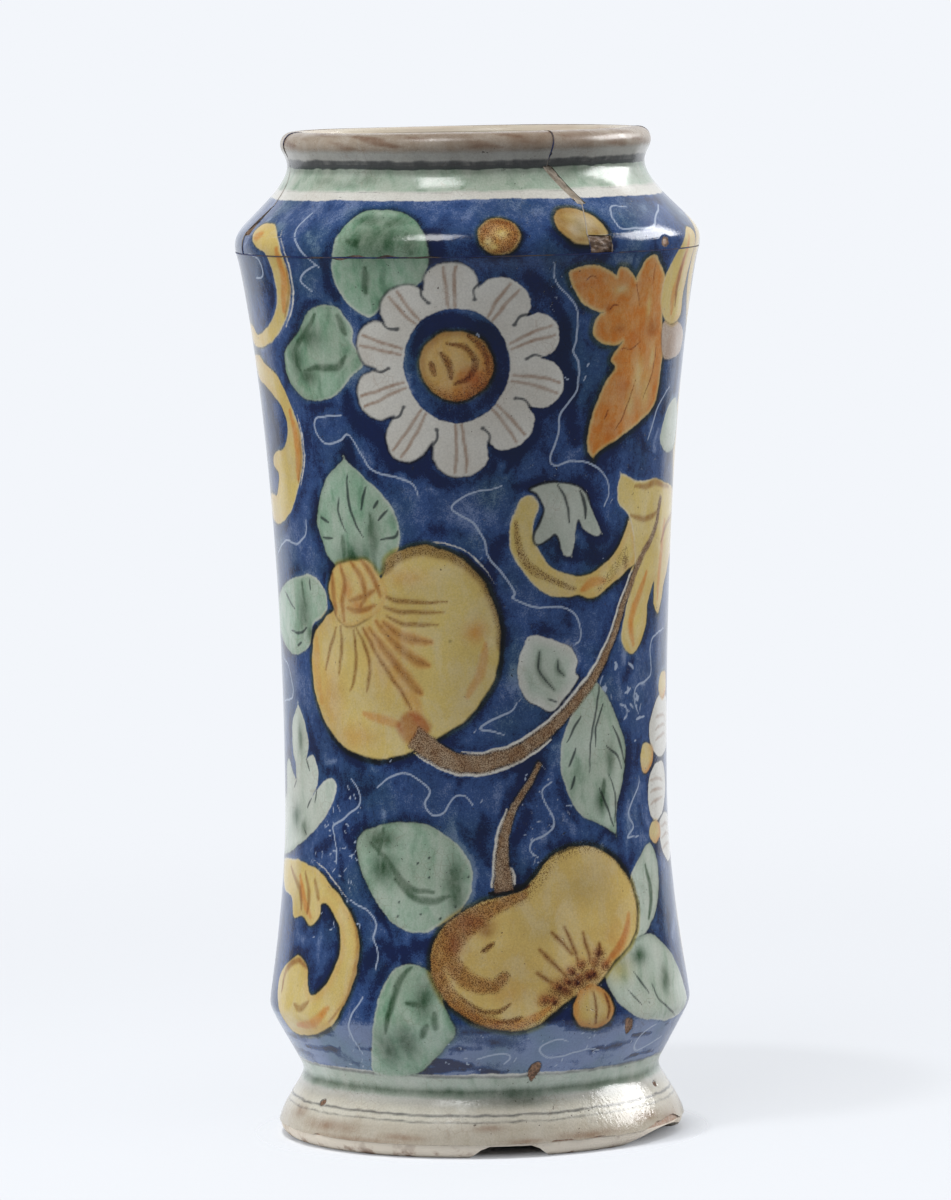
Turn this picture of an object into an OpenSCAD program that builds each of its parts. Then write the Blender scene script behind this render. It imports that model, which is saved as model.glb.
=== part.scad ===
// Waisted drug jar of tin-glazed earthenware, broken at the shoulder and mended.
// Millimetres, +Z up. The origin is on the axis, in the plane that the foot stands on.
// The front faces -Y. Angles round the jar are counted from the front, towards +X.

/* [Foot] */
// Radius of the spreading foot at its edge
foot_r = 58.8; // [54:0.2:64]
// Rounding of the foot's lower edge
foot_edge_r = 4; // [1:0.5:5]
// Height of the foot, from the ground to its waist
foot_h = 18.8; // [14:0.2:26]
// Radius at the waist between foot and belly
foot_waist_r = 51.2; // [47:0.2:54]
// Width of the ring that stands on the ground
foot_ring_w = 11; // [6:0.5:16]
// Depth of the hollow under the base
base_hollow = 6; // [2:0.5:9]

/* [Body] */
// Rise from the foot's waist to the belly's edge
belly_rise = 19.2; // [14:0.2:26]
// Radius at the belly's edge
belly_r = 61; // [57:0.2:66]
// Rise from the belly's edge to the waist of the body
waist_rise = 62; // [45:1:80]
// Radius at the waist of the body
waist_r = 55.2; // [50:0.2:60]
// Rise from the waist to the shoulder's edge
barrel_rise = 158; // [110:1:190]
// Radius at the shoulder's edge
shoulder_r = 66.9; // [62:0.1:72]
// Half height of the shoulder's rounded edge
shoulder_edge = 5; // [4:0.5:7]

/* [Neck and rim] */
// Rise from the shoulder's edge to the groove of the neck
shoulder_rise = 22; // [16:0.5:30]
// Radius in the groove of the neck
neck_r = 51.2; // [49:0.2:53]
// Rise from the groove to the top of the rim
rim_rise = 10; // [8:0.5:14]
// Radius of the rolled rim
rim_r = 53.5; // [52.5:0.1:58]
// Rounding of the rim's outer edge
rim_edge_r = 3.5; // [2:0.25:4.5]
// Radius of the mouth, inside the clay
mouth_r = 46; // [42:0.2:47]
// Length of the straight mouth below the rim's inner rounding
mouth_len = 10; // [6:0.5:14]
// Rounding of the rim's inner edge
mouth_edge_r = 2; // [1:0.25:2.5]

/* [Walls and glaze] */
// Thickness of the clay wall
wall = 6; // [4:0.25:8]
// Thickness of the base
floor_t = 10; // [6:0.5:14]
// Thickness of the white tin glaze outside
glaze_t = 0.5; // [0.3:0.05:0.8]
// Thickness of the glaze inside
lining_t = 0.4; // [0.3:0.05:0.8]

/* [Breaks] */
// Drop from the shoulder's edge to the break all round
break_drop = 2.4; // [1:0.1:4]
// Thickness of the glue in every break
glue_t = 0.3; // [0.2:0.05:0.6]
// Place of the break in front
front_break_angle = 30; // [15:1:45]
// Place of the break on the left
left_break_angle = -75; // [-90:1:-55]
// Place of the break on the right
right_break_angle = 97; // [85:1:115]
// Sideways reach of the zigzag in each break
break_zigzag = 4; // [1:0.5:6]

/* [Losses] */
// Depth of the filled losses under the glaze
fill_depth = 2; // [1:0.25:3]
// Width of the filled loss that crosses the neck
neck_fill_w = 3; // [2:0.5:5]
// Width of the filled loss on the shoulder
shoulder_fill_w = 7.6; // [4:0.2:9]
// Height of the filled loss on the shoulder
shoulder_fill_h = 5; // [3:0.5:8]
// Width of the filled loss on the left
left_fill_w = 4; // [2:0.5:6]
// Place of the chip on the shoulder's edge
edge_chip_angle = 62; // [50:1:80]
// Gap between the break and the chip on the shoulder's edge
edge_chip_gap = 0.9; // [0.5:0.1:3]
// Width of the chip on the shoulder's edge
edge_chip_w = 4; // [3:0.5:8]
// Depth of the chip on the shoulder's edge
edge_chip_depth = 1.4; // [0.8:0.2:2]
// Place of the bite out of the foot in front
front_bite_angle = 8; // [-10:1:20]
// Height of the bite out of the foot in front
front_bite_h = 3.6; // [1:0.2:5]
// Width of the bite out of the foot in front, on the ground
front_bite_w = 23; // [10:1:30]
// Width of the bite out of the foot in front, at its top
front_bite_top_w = 12; // [6:1:20]
// Place of the long chip on the right of the foot
side_chip_angle = 66; // [50:1:80]
// Height of the long chip on the right of the foot
side_chip_h = 4; // [1:0.2:5]
// Width of the long chip on the right of the foot
side_chip_w = 46; // [20:1:50]

/* [Hidden] */
$fn = 96;

// Heights of the levels that the outline passes through
belly_z = foot_h + belly_rise;
waist_z = belly_z + waist_rise;
shoulder_z = waist_z + barrel_rise;
neck_z = shoulder_z + shoulder_rise;
jar_h = neck_z + rim_rise;
break_z = shoulder_z - break_drop;
floor_z = base_hollow + floor_t;
clay_top_z = jar_h - glaze_t;
mouth_low_z = clay_top_z - mouth_edge_r - mouth_len;

// The ring that stands on the ground
ring_out_r = foot_r - glaze_t - foot_edge_r;
ring_in_r = ring_out_r - foot_ring_w;

// The barrel ends a little inside the shoulder's edge, and its inner face lower still
barrel_top_r = shoulder_r - 0.08 * (shoulder_r - waist_r);
barrel_top_z = shoulder_z - shoulder_edge;
inner_shoulder_r = shoulder_r - 0.14 * (shoulder_r - waist_r) - wall;
inner_shoulder_z = shoulder_z - 2 * shoulder_edge;

// Where the rounding of the foot's clay meets the end of the glaze
edge_end_angle = -15;

// Past the jar on every side
reach = 2 * max(shoulder_r, belly_r, foot_r, rim_r);
past = 1;

// Colours as the fired jar shows them
clay_colour = [0.72, 0.56, 0.42];
glaze_colour = [0.16, 0.24, 0.46];
lining_colour = [0.82, 0.78, 0.68];
glue_colour = [0.36, 0.30, 0.24];
fill_colour = [0.45, 0.36, 0.27];

// Cubic curve through p0 and p3, in equal steps
function curve(p0, p1, p2, p3, n = 12) =
    [for (i = [0:n]) let (t = i / n, s = 1 - t)
        s * s * s * p0 + 3 * s * s * t * p1 + 3 * s * t * t * p2 + t * t * t * p3];

// Arc about a centre, in equal steps
function arc(centre, r, from, to, n = 6) =
    [for (i = [0:n]) let (a = from + (to - from) * i / n) centre + r * [cos(a), sin(a)]];

// The list without its first point, to join it to a list that ends there
function tail(points) = [for (i = [1:len(points) - 1]) points[i]];
function reversed(points) = [for (i = [len(points) - 1:-1:0]) points[i]];

// An outline moved sideways by d, to the right of the way that its points run
function right_side(a, b) = let (way = (b - a) / norm(b - a)) [way[1], -way[0]];
function moved(points, d) = let (last = len(points) - 1)
    [for (i = [0:last])
        let (before = right_side(points[max(i - 1, 0)], points[max(i, 1)]),
             after = right_side(points[min(i, last - 1)], points[min(i + 1, last)]),
             both = before + after)
        points[i] + 2 * d * both / (both * both)];

// Outside of the glaze, from the foot's edge up to the top of the rim
function foot_side() = let (rise = foot_h - foot_edge_r, spread = foot_r - foot_waist_r)
    curve([foot_r, foot_edge_r],
          [foot_r - 0.1 * spread, foot_edge_r + 0.3 * rise],
          [foot_waist_r + 0.1 * spread, foot_h - 0.2 * rise],
          [foot_waist_r, foot_h]);
function under_belly() = let (spread = belly_r - foot_waist_r)
    curve([foot_waist_r, foot_h],
          [foot_waist_r + 0.06 * spread, foot_h + 0.14 * belly_rise],
          [belly_r - 0.06 * spread, belly_z - 0.14 * belly_rise],
          [belly_r, belly_z]);
function belly_side() =
    curve([belly_r, belly_z],
          [belly_r - 0.48 * (belly_r - waist_r), belly_z + 0.3 * waist_rise],
          [waist_r, waist_z - 0.4 * waist_rise],
          [waist_r, waist_z]);
function barrel_side() = let (rise = barrel_top_z - waist_z)
    curve([waist_r, waist_z],
          [waist_r, waist_z + 0.33 * rise],
          [waist_r + 0.28 * (shoulder_r - waist_r), waist_z + 0.75 * rise],
          [barrel_top_r, barrel_top_z], 16);
function shoulder_side() = let (spread = shoulder_r - neck_r)
    curve([barrel_top_r, barrel_top_z],
          [shoulder_r + 0.04 * spread, shoulder_z - 0.1 * shoulder_edge],
          [shoulder_r + 0.03 * spread, shoulder_z + 0.4 * shoulder_edge],
          [shoulder_r - 0.15 * spread, shoulder_z + shoulder_edge], 8);
function neck_side() = let (spread = shoulder_r - neck_r, rise = shoulder_rise - shoulder_edge)
    curve([shoulder_r - 0.15 * spread, shoulder_z + shoulder_edge],
          [shoulder_r - 0.45 * spread, shoulder_z + shoulder_edge + 0.3 * rise],
          [neck_r + 0.06 * spread, neck_z - 0.35 * rise],
          [neck_r, neck_z]);
function rim_side() = let (rise = rim_rise - rim_edge_r)
    curve([neck_r, neck_z],
          [neck_r, neck_z + 0.45 * rise],
          [rim_r, neck_z + 0.6 * rise],
          [rim_r, neck_z + rise], 6);
function rim_top() =
    concat(arc([rim_r - rim_edge_r, jar_h - rim_edge_r], rim_edge_r, 0, 90),
           [[mouth_r + mouth_edge_r, jar_h]]);

upper_outside = concat(barrel_side(), tail(shoulder_side()), tail(neck_side()));
outside = concat(foot_side(), tail(under_belly()), tail(belly_side()), tail(upper_outside),
                 tail(rim_side()), tail(rim_top()));
clay_outside = moved(outside, -glaze_t);

// Inside of the clay, from the top of the rim down to the middle of the base
function mouth_side() =
    concat(arc([mouth_r + mouth_edge_r, clay_top_z - mouth_edge_r], mouth_edge_r, 90, 180, 4),
           [[mouth_r, mouth_low_z]]);
function inner_shoulder() = let (rise = mouth_low_z - inner_shoulder_z)
    curve([mouth_r, mouth_low_z],
          [mouth_r + 0.1 * (inner_shoulder_r - mouth_r), mouth_low_z - 0.3 * rise],
          [inner_shoulder_r + 0.1 * wall, inner_shoulder_z + 0.35 * rise],
          [inner_shoulder_r, inner_shoulder_z], 10);
function inner_barrel() =
    let (low_r = waist_r - wall, rise = inner_shoulder_z - waist_z)
    curve([inner_shoulder_r, inner_shoulder_z],
          [low_r + 0.3 * (inner_shoulder_r - low_r), waist_z + 0.75 * rise],
          [low_r, waist_z + 0.33 * rise],
          [low_r, waist_z], 16);
function inner_belly() =
    curve([waist_r - wall, waist_z],
          [waist_r - wall, waist_z - 0.6 * waist_rise],
          [belly_r - wall, belly_z + 0.3 * waist_rise],
          [belly_r - wall, belly_z]);
function inner_base() = let (corner_r = foot_waist_r - wall, drop = belly_z - floor_z)
    concat(curve([belly_r - wall, belly_z],
                 [belly_r - wall, belly_z - 0.2 * drop],
                 [corner_r - 0.15 * wall, floor_z],
                 [corner_r - wall, floor_z], 10),
           [[0, floor_z]]);
inside = concat(mouth_side(), tail(inner_shoulder()), tail(inner_barrel()),
                tail(inner_belly()), tail(inner_base()));
lining_inside = moved(inside, lining_t);

// Underside of the foot, from the axis out to the rounded edge
function underside() =
    concat([[0, base_hollow], [ring_in_r - base_hollow, base_hollow], [ring_in_r, 0]],
           arc([ring_out_r, foot_edge_r], foot_edge_r, -90, edge_end_angle));

// The whole jar before it broke: its clay, its glaze, its lining and all three together
module whole_clay() {
    rotate_extrude() polygon(concat(underside(), clay_outside, tail(inside)));
}
module whole_glaze() {
    rotate_extrude() polygon(concat(outside, reversed(clay_outside)));
}
module whole_lining() {
    rotate_extrude() polygon(concat(inside, reversed(lining_inside)));
}
module whole_wall() {
    rotate_extrude() polygon(concat(outside, lining_inside, [[0, foot_edge_r]]));
}

// Everything between two heights
module between(low_z, high_z) {
    translate([0, 0, low_z]) cylinder(h = high_z - low_z, r = reach);
}
module below_break() { between(-past, break_z - glue_t / 2); }
module above_break() { between(break_z + glue_t / 2, jar_h + past); }

// The way that a break runs down from the rim, as [sideways, height] points.
zigzag =
    [[-0.4 * break_zigzag, jar_h + past],
     [-0.8 * break_zigzag, neck_z],
     [1.0 * break_zigzag, shoulder_z + 0.52 * shoulder_rise],
     [0.2 * break_zigzag, shoulder_z + 0.15 * shoulder_rise],
     [0.4 * break_zigzag, break_z - past]];
function shifted(points, d) = [for (p = points) p + [d, 0]];
function break_at(z) = lookup(z, [for (p = zigzag) [p[1], p[0]]]);

// A drawing of [sideways, height], stood up square to the radius at an angle and given depth
module at_wall(angle, from_r, to_r) {
    rotate([0, 0, angle - 90]) translate([from_r, 0, 0])
        rotate([90, 0, 90]) linear_extrude(height = to_r - from_r) children();
}

// All that lies to one side of a break, past half the glue: side is 1 for right and -1 for left
module beside(angle, side) {
    path = shifted(zigzag, side * glue_t / 2);
    at_wall(angle, -reach, reach)
        polygon(concat(path, [[side * reach, break_z - past], [side * reach, jar_h + past]]));
}
module glue_sheet(angle) {
    at_wall(angle, 0, reach)
        polygon(concat(shifted(zigzag, -glue_t / 2),
                       reversed(shifted(zigzag, glue_t / 2))));
}

// The room that each sherd takes above the shoulder
module front_sector() {
    intersection() {
        above_break();
        beside(left_break_angle, 1);
        beside(front_break_angle, -1);
    }
}
module right_sector() {
    intersection() {
        above_break();
        beside(front_break_angle, 1);
        beside(right_break_angle, -1);
    }
}
module back_sector() {
    intersection() {
        above_break();
        union() {
            beside(right_break_angle, 1);
            beside(left_break_angle, -1);
        }
    }
}

// A skin that holds the upper wall's outside, as deep as the losses go and out past the glaze
module loss_skin() {
    rotate_extrude()
        polygon(concat(moved(upper_outside, past), reversed(moved(upper_outside, -glaze_t - fill_depth))));
}
// Losses beside the breaks: a band across the neck, a patch above the shoulder, a splinter
module neck_loss() {
    top = zigzag[1];
    low = zigzag[2];
    half = [neck_fill_w / 2, 0];
    intersection() {
        loss_skin();
        at_wall(front_break_angle, 0, reach) polygon([top - half, top + half, low + half, low - half]);
    }
}
module shoulder_loss() {
    low_z = break_z - past;
    top_z = break_z + shoulder_fill_h;
    low_u = break_at(low_z);
    top_u = break_at(top_z);
    intersection() {
        loss_skin();
        at_wall(front_break_angle, 0, reach)
            polygon([[low_u, low_z], [low_u + shoulder_fill_w, low_z],
                     [top_u + shoulder_fill_w, top_z], [top_u, top_z]]);
    }
}
module left_loss() {
    top = zigzag[2];
    low = zigzag[3];
    intersection() {
        loss_skin();
        at_wall(left_break_angle, 0, reach) polygon([top, low + [left_fill_w, 0], low]);
    }
}

// A ball that bites the given width and height out of an edge that lies flat at z = 0
module bite(width, height) {
    ball_r = (width * width / 4 + height * height) / (2 * height);
    translate([0, 0, height - ball_r]) sphere(r = ball_r);
}
module around(angle, r, z) {
    rotate([0, 0, angle - 90]) translate([r, 0, z]) children();
}
// A notch with sloping sides, from the hollow under the base out through the foot's edge
module front_bite() {
    low = front_bite_w / 2;
    top = front_bite_top_w / 2;
    side = [[low, -past], [low, 0], [top + 0.45 * (low - top), 0.72 * front_bite_h], [top, front_bite_h]];
    other_side = [for (p = reversed(side)) [-p[0], p[1]]];
    start_r = ring_in_r - front_bite_h - past;
    around(front_bite_angle, start_r, 0) rotate([90, 0, 90])
        linear_extrude(foot_r + past - start_r) polygon(concat(side, other_side));
}
module foot_chips() {
    front_bite();
    around(side_chip_angle, foot_r + foot_edge_r, 0) bite(side_chip_w, side_chip_h);
}
module edge_chip() {
    middle_z = break_z + edge_chip_gap + edge_chip_w / 2;
    around(edge_chip_angle, shoulder_r, middle_z) rotate([0, -90, 0]) bite(edge_chip_w, edge_chip_depth);
}

// The main piece: body, foot and base
module body_clay() {
    color(clay_colour) difference() {
        intersection() { whole_clay(); below_break(); }
        foot_chips();
    }
}
module body_glaze() {
    color(glaze_colour) difference() {
        intersection() { whole_glaze(); below_break(); }
        foot_chips();
    }
}
module body_lining() {
    color(lining_colour) intersection() { whole_lining(); below_break(); }
}

// The front sherd of the broken top
module front_losses() {
    neck_loss();
    shoulder_loss();
    left_loss();
}
module front_sherd_clay() {
    color(clay_colour) difference() {
        intersection() { whole_clay(); front_sector(); }
        front_losses();
    }
}
module front_sherd_glaze() {
    color(glaze_colour) difference() {
        intersection() { whole_glaze(); front_sector(); }
        front_losses();
    }
}
module front_sherd_lining() {
    color(lining_colour) intersection() { whole_lining(); front_sector(); }
}

// The right sherd
module right_losses() {
    neck_loss();
    shoulder_loss();
    edge_chip();
}
module right_sherd_clay() {
    color(clay_colour) difference() {
        intersection() { whole_clay(); right_sector(); }
        right_losses();
    }
}
module right_sherd_glaze() {
    color(glaze_colour) difference() {
        intersection() { whole_glaze(); right_sector(); }
        right_losses();
    }
}
module right_sherd_lining() {
    color(lining_colour) intersection() { whole_lining(); right_sector(); }
}

// The back sherd
module back_sherd_clay() {
    color(clay_colour) intersection() { whole_clay(); back_sector(); }
}
module back_sherd_glaze() {
    color(glaze_colour) intersection() { whole_glaze(); back_sector(); }
}
module back_sherd_lining() {
    color(lining_colour) intersection() { whole_lining(); back_sector(); }
}

// Glue in the breaks
module shoulder_glue() {
    color(glue_colour) intersection() {
        whole_wall();
        between(break_z - glue_t / 2, break_z + glue_t / 2);
    }
}
module front_glue() {
    color(glue_colour) difference() {
        intersection() {
            whole_wall();
            above_break();
            glue_sheet(front_break_angle);
        }
        front_losses();
    }
}
module left_glue() {
    color(glue_colour) difference() {
        intersection() {
            whole_wall();
            above_break();
            glue_sheet(left_break_angle);
        }
        left_loss();
    }
}
module right_glue() {
    color(glue_colour) intersection() {
        whole_wall();
        above_break();
        glue_sheet(right_break_angle);
    }
}

// Putty in the losses
module neck_fill() {
    color(fill_colour) intersection() { whole_wall(); neck_loss(); }
}
module shoulder_fill() {
    color(fill_colour) intersection() { whole_wall(); above_break(); shoulder_loss(); }
}
module left_fill() {
    color(fill_colour) intersection() { whole_wall(); left_loss(); }
}

body_clay();
body_glaze();
body_lining();
front_sherd_clay();
front_sherd_glaze();
front_sherd_lining();
right_sherd_clay();
right_sherd_glaze();
right_sherd_lining();
back_sherd_clay();
back_sherd_glaze();
back_sherd_lining();
shoulder_glue();
front_glue();
left_glue();
right_glue();
neck_fill();
shoulder_fill();
left_fill();
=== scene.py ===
"""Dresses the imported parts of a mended, painted drug jar, and sets the stage for its picture."""

import math
from types import SimpleNamespace

import bpy
import numpy as np
from bpy.props import FloatProperty, FloatVectorProperty, PointerProperty
from mathutils import Matrix, Vector


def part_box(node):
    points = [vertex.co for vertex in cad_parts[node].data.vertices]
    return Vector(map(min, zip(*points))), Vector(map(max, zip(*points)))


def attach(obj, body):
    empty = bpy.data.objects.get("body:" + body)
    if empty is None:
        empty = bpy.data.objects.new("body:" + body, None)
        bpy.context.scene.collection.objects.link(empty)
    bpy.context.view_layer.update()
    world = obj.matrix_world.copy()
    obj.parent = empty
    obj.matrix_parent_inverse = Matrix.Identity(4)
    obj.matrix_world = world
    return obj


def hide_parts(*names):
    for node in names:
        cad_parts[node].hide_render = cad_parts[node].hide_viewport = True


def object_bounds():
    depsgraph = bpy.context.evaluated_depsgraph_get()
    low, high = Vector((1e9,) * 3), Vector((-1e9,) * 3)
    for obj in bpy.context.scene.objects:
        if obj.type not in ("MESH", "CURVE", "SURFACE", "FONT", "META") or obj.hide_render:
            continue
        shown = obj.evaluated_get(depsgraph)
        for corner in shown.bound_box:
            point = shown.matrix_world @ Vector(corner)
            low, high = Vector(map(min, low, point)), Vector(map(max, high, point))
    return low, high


bl_info = {
    "name": "Painted drug jar",
    "version": (1, 0, 0),
    "blender": (4, 5, 0),
    "location": "View3D > Sidebar > Jar",
    "description": "Dresses the parts of a mended, painted drug jar",
    "category": "Object",
}

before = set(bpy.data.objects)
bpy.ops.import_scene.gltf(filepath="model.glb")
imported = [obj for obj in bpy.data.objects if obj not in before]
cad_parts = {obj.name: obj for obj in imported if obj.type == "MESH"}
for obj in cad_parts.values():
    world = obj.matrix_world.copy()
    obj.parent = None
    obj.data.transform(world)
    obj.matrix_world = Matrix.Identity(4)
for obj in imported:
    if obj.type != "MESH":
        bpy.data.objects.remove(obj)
cad_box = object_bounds()
break_gap = (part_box("body_glaze")[1].z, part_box("front_sherd_glaze")[0].z)

BODY = "root"
BAKE_MAP = "OFBake"

# The painting is laid out in millimetres: round the jar from the front towards +X, on a drum of this
# radius, and up along the outside of the glaze from the foot's edge.
DRUM_R = 60.0
TURN = 2 * math.pi * DRUM_R

WASHES = ("green", "deep_green", "yellow", "orange", "brown", "red", "grey", "taupe", "stipple")
LINES = ("line", "rust", "scratch")
LAYERS = ("ground", "ink", "bare", "dull", *WASHES, *LINES)
FAR = 9.0
EVERYWHERE = slice(None)


# Sizes and colours

def linear(red, green, blue):
    """A colour as a screen shows it, 0 to 255, in linear numbers."""
    shares = (red / 255, green / 255, blue / 255)
    return tuple(c / 12.92 if c <= 0.04045 else ((c + 0.055) / 1.055) ** 2.4 for c in shares)


def length(name, text, mm):
    return FloatProperty(name=name, description=text, default=mm / 1000, min=0, unit="LENGTH", precision=4)


def angle(name, text, degrees):
    return FloatProperty(name=name, description=text, default=math.radians(degrees), subtype="ANGLE")


def tint(name, text, *screen):
    return FloatVectorProperty(name=name, description=text, default=linear(*screen), subtype="COLOR",
                               min=0, max=1)


class JarSizes(bpy.types.PropertyGroup):
    """The outline of the glaze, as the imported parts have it"""
    foot_r: length("Foot", "Radius of the spreading foot at its edge", 58.8)
    foot_edge_r: length("Foot edge", "Height at which the glaze begins", 4)
    foot_h: length("Foot height", "Height of the waist between foot and belly", 18.8)
    foot_waist_r: length("Foot waist", "Radius of the waist between foot and belly", 51.2)
    belly_z: length("Belly height", "Height of the belly's edge", 38)
    belly_r: length("Belly", "Radius at the belly's edge", 61)
    waist_z: length("Waist height", "Height of the body's waist", 100)
    waist_r: length("Waist", "Radius at the body's waist", 55.2)
    shoulder_z: length("Shoulder height", "Height of the shoulder's edge", 258)
    shoulder_r: length("Shoulder", "Radius at the shoulder's edge", 66.9)
    shoulder_edge: length("Shoulder edge", "Half height of the shoulder's rounded edge", 5)
    neck_z: length("Neck height", "Height of the groove in the neck", 280)
    neck_r: length("Neck", "Radius in the groove of the neck", 51.2)
    rim_r: length("Rim", "Radius of the rolled rim", 53.5)
    rim_edge_r: length("Rim edge", "Rounding of the rim's outer edge", 3.5)
    mouth_r: length("Mouth", "Radius at which the glaze of the rim ends", 48)
    height: length("Height", "Height of the jar", 1000 * cad_box[1].z)
    break_z: length("Break height", "Height of the break all round", 500 * sum(break_gap))
    glue_t: length("Glue", "Width of the glued breaks", 1000 * (break_gap[1] - break_gap[0]))
    glaze_t: length("Glaze", "Thickness of the glaze", 0.5)
    fill_depth: length("Fill depth", "Depth of the filled losses under the glaze", 2)
    neck_fill_w: length("Neck fill", "Width of the filled loss that crosses the neck", 3)
    shoulder_fill_w: length("Shoulder fill", "Width of the filled loss on the shoulder", 7.6)
    shoulder_fill_h: length("Shoulder fill height", "Height of the filled loss on the shoulder", 5)
    left_fill_w: length("Left fill", "Width of the filled loss on the left", 4)
    zigzag: length("Zigzag", "Sideways reach of the zigzag in each break", 4)
    grid: length("Grid", "Distance between the points of the painted meshes", 0.5)


class JarBreaks(bpy.types.PropertyGroup):
    """Where the breaks run down from the rim, counted from the front towards the right"""
    front: angle("Front break", "Place of the break in front", 30)
    left: angle("Left break", "Place of the break on the left", -75)
    right: angle("Right break", "Place of the break on the right", 97)


class JarColours(bpy.types.PropertyGroup):
    """Pigments as they look on the white glaze, and the bare materials"""
    tin_white: tint("Tin white", "The white glaze", 208, 207, 200)
    tin_shade: tint("Shaded white", "The white glaze where it lies thin", 196, 193, 184)
    cobalt: tint("Cobalt", "The blue ground", 57, 92, 158)
    cobalt_dark: tint("Dark cobalt", "The blue where strokes overlap", 17, 38, 94)
    cobalt_pale: tint("Pale cobalt", "The blue where it lies thin", 138, 160, 212)
    sea: tint("Sea blue", "Greenish tinge in parts of the blue", 205, 232, 206)
    green: tint("Green", "Washed copper green", 146, 194, 166)
    deep_green: tint("Deep green", "Copper green laid on thickly", 58, 100, 62)
    yellow: tint("Yellow", "Antimony yellow", 246, 220, 138)
    orange: tint("Orange", "Yellow with iron in it", 243, 165, 100)
    brown: tint("Brown", "Iron brown wash", 186, 152, 130)
    red: tint("Red", "Iron red of the blossom ends", 196, 96, 70)
    rust: tint("Rust", "Dark brown lines", 150, 100, 74)
    manganese: tint("Manganese", "Dark brown stippling and lines", 112, 78, 56)
    line: tint("Dark line", "Blue-black contours and veins", 52, 62, 76)
    grey: tint("Grey", "Thin grey wash", 186, 186, 184)
    scratch: tint("Scratch", "Lines scratched through the blue", 158, 170, 190)
    taupe: tint("Taupe", "The rim's brownish grey", 190, 174, 160)
    skin: tint("Skin", "The smooth outside of the clay", 212, 202, 186)
    clay: tint("Clay", "Bare fired clay", 158, 122, 96)
    dirt: tint("Dirt", "Dust and old dirt on bare clay", 84, 66, 54)
    lining: tint("Lining", "The glaze inside", 196, 186, 168)
    glue: tint("Glue", "Old glue in the breaks", 74, 68, 66)
    fill: tint("Fill", "Putty in the losses", 112, 86, 62)
    pale_fill: tint("Pale fill", "Putty and glue wiped over the neck", 172, 162, 146)
    backdrop: tint("Backdrop", "The studio's paper", 243, 246, 251)


def millimetres(group):
    """The lengths of a group, in millimetres."""
    return SimpleNamespace(**{key: 1000 * getattr(group, key) for key in group.__annotations__})


# The outline of the glaze

def cubic(p0, p1, p2, p3, steps=90):
    """Points along a curve from the first point to the last, drawn towards the two between."""
    p0, p1, p2, p3 = np.array((p0, p1, p2, p3), float)
    t = np.linspace(0, 1, steps + 1)[:, None]
    s = 1 - t
    return s**3 * p0 + 3 * s * s * t * p1 + 3 * s * t * t * p2 + t**3 * p3


def outline_points(s):
    """Radius and height along the outside of the glaze, from the foot's edge to the top of the rim."""
    rise, spread = s.foot_h - s.foot_edge_r, s.foot_r - s.foot_waist_r
    foot = cubic((s.foot_r, s.foot_edge_r), (s.foot_r - 0.1 * spread, s.foot_edge_r + 0.3 * rise),
                 (s.foot_waist_r + 0.1 * spread, s.foot_h - 0.2 * rise), (s.foot_waist_r, s.foot_h))
    rise, spread = s.belly_z - s.foot_h, s.belly_r - s.foot_waist_r
    under = cubic((s.foot_waist_r, s.foot_h), (s.foot_waist_r + 0.06 * spread, s.foot_h + 0.14 * rise),
                  (s.belly_r - 0.06 * spread, s.belly_z - 0.14 * rise), (s.belly_r, s.belly_z))
    rise, spread = s.waist_z - s.belly_z, s.belly_r - s.waist_r
    belly = cubic((s.belly_r, s.belly_z), (s.belly_r - 0.48 * spread, s.belly_z + 0.3 * rise),
                  (s.waist_r, s.waist_z - 0.4 * rise), (s.waist_r, s.waist_z))
    spread = s.shoulder_r - s.waist_r
    top = (s.shoulder_r - 0.08 * spread, s.shoulder_z - s.shoulder_edge)
    rise = top[1] - s.waist_z
    barrel = cubic((s.waist_r, s.waist_z), (s.waist_r, s.waist_z + 0.33 * rise),
                   (s.waist_r + 0.28 * spread, s.waist_z + 0.75 * rise), top, 240)
    spread, edge = s.shoulder_r - s.neck_r, s.shoulder_edge
    bend = (s.shoulder_r - 0.15 * spread, s.shoulder_z + edge)
    shoulder = cubic(top, (s.shoulder_r + 0.04 * spread, s.shoulder_z - 0.1 * edge),
                     (s.shoulder_r + 0.03 * spread, s.shoulder_z + 0.4 * edge), bend)
    rise = s.neck_z - bend[1]
    neck = cubic(bend, (s.shoulder_r - 0.45 * spread, bend[1] + 0.3 * rise),
                 (s.neck_r + 0.06 * spread, s.neck_z - 0.35 * rise), (s.neck_r, s.neck_z))
    rise = s.height - s.neck_z - s.rim_edge_r
    rim = cubic((s.neck_r, s.neck_z), (s.neck_r, s.neck_z + 0.45 * rise),
                (s.rim_r, s.neck_z + 0.6 * rise), (s.rim_r, s.neck_z + rise))
    quarter = np.linspace(0, math.pi / 2, 40)
    lip = np.stack([s.rim_r + s.rim_edge_r * (np.cos(quarter) - 1),
                    s.height + s.rim_edge_r * (np.sin(quarter) - 1)], axis=1)
    end = np.array([[s.mouth_r, s.height]])
    pieces = (foot, under, belly, barrel, shoulder, neck, rim, lip)
    return np.vstack([pieces[0], *(piece[1:] for piece in pieces[1:]), end])


def softened(points, reach=5):
    """An evenly spaced line with its corners rounded off; its ends stay."""
    far = 3 * reach
    share = np.exp(-0.5 * (np.arange(-far, far + 1) / reach)**2)
    longer = np.vstack([2 * points[0] - points[far:0:-1], points, 2 * points[-1] - points[-2:-far - 2:-1]])
    return np.stack([np.convolve(column, share / share.sum(), "valid") for column in longer.T], axis=1)


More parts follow.
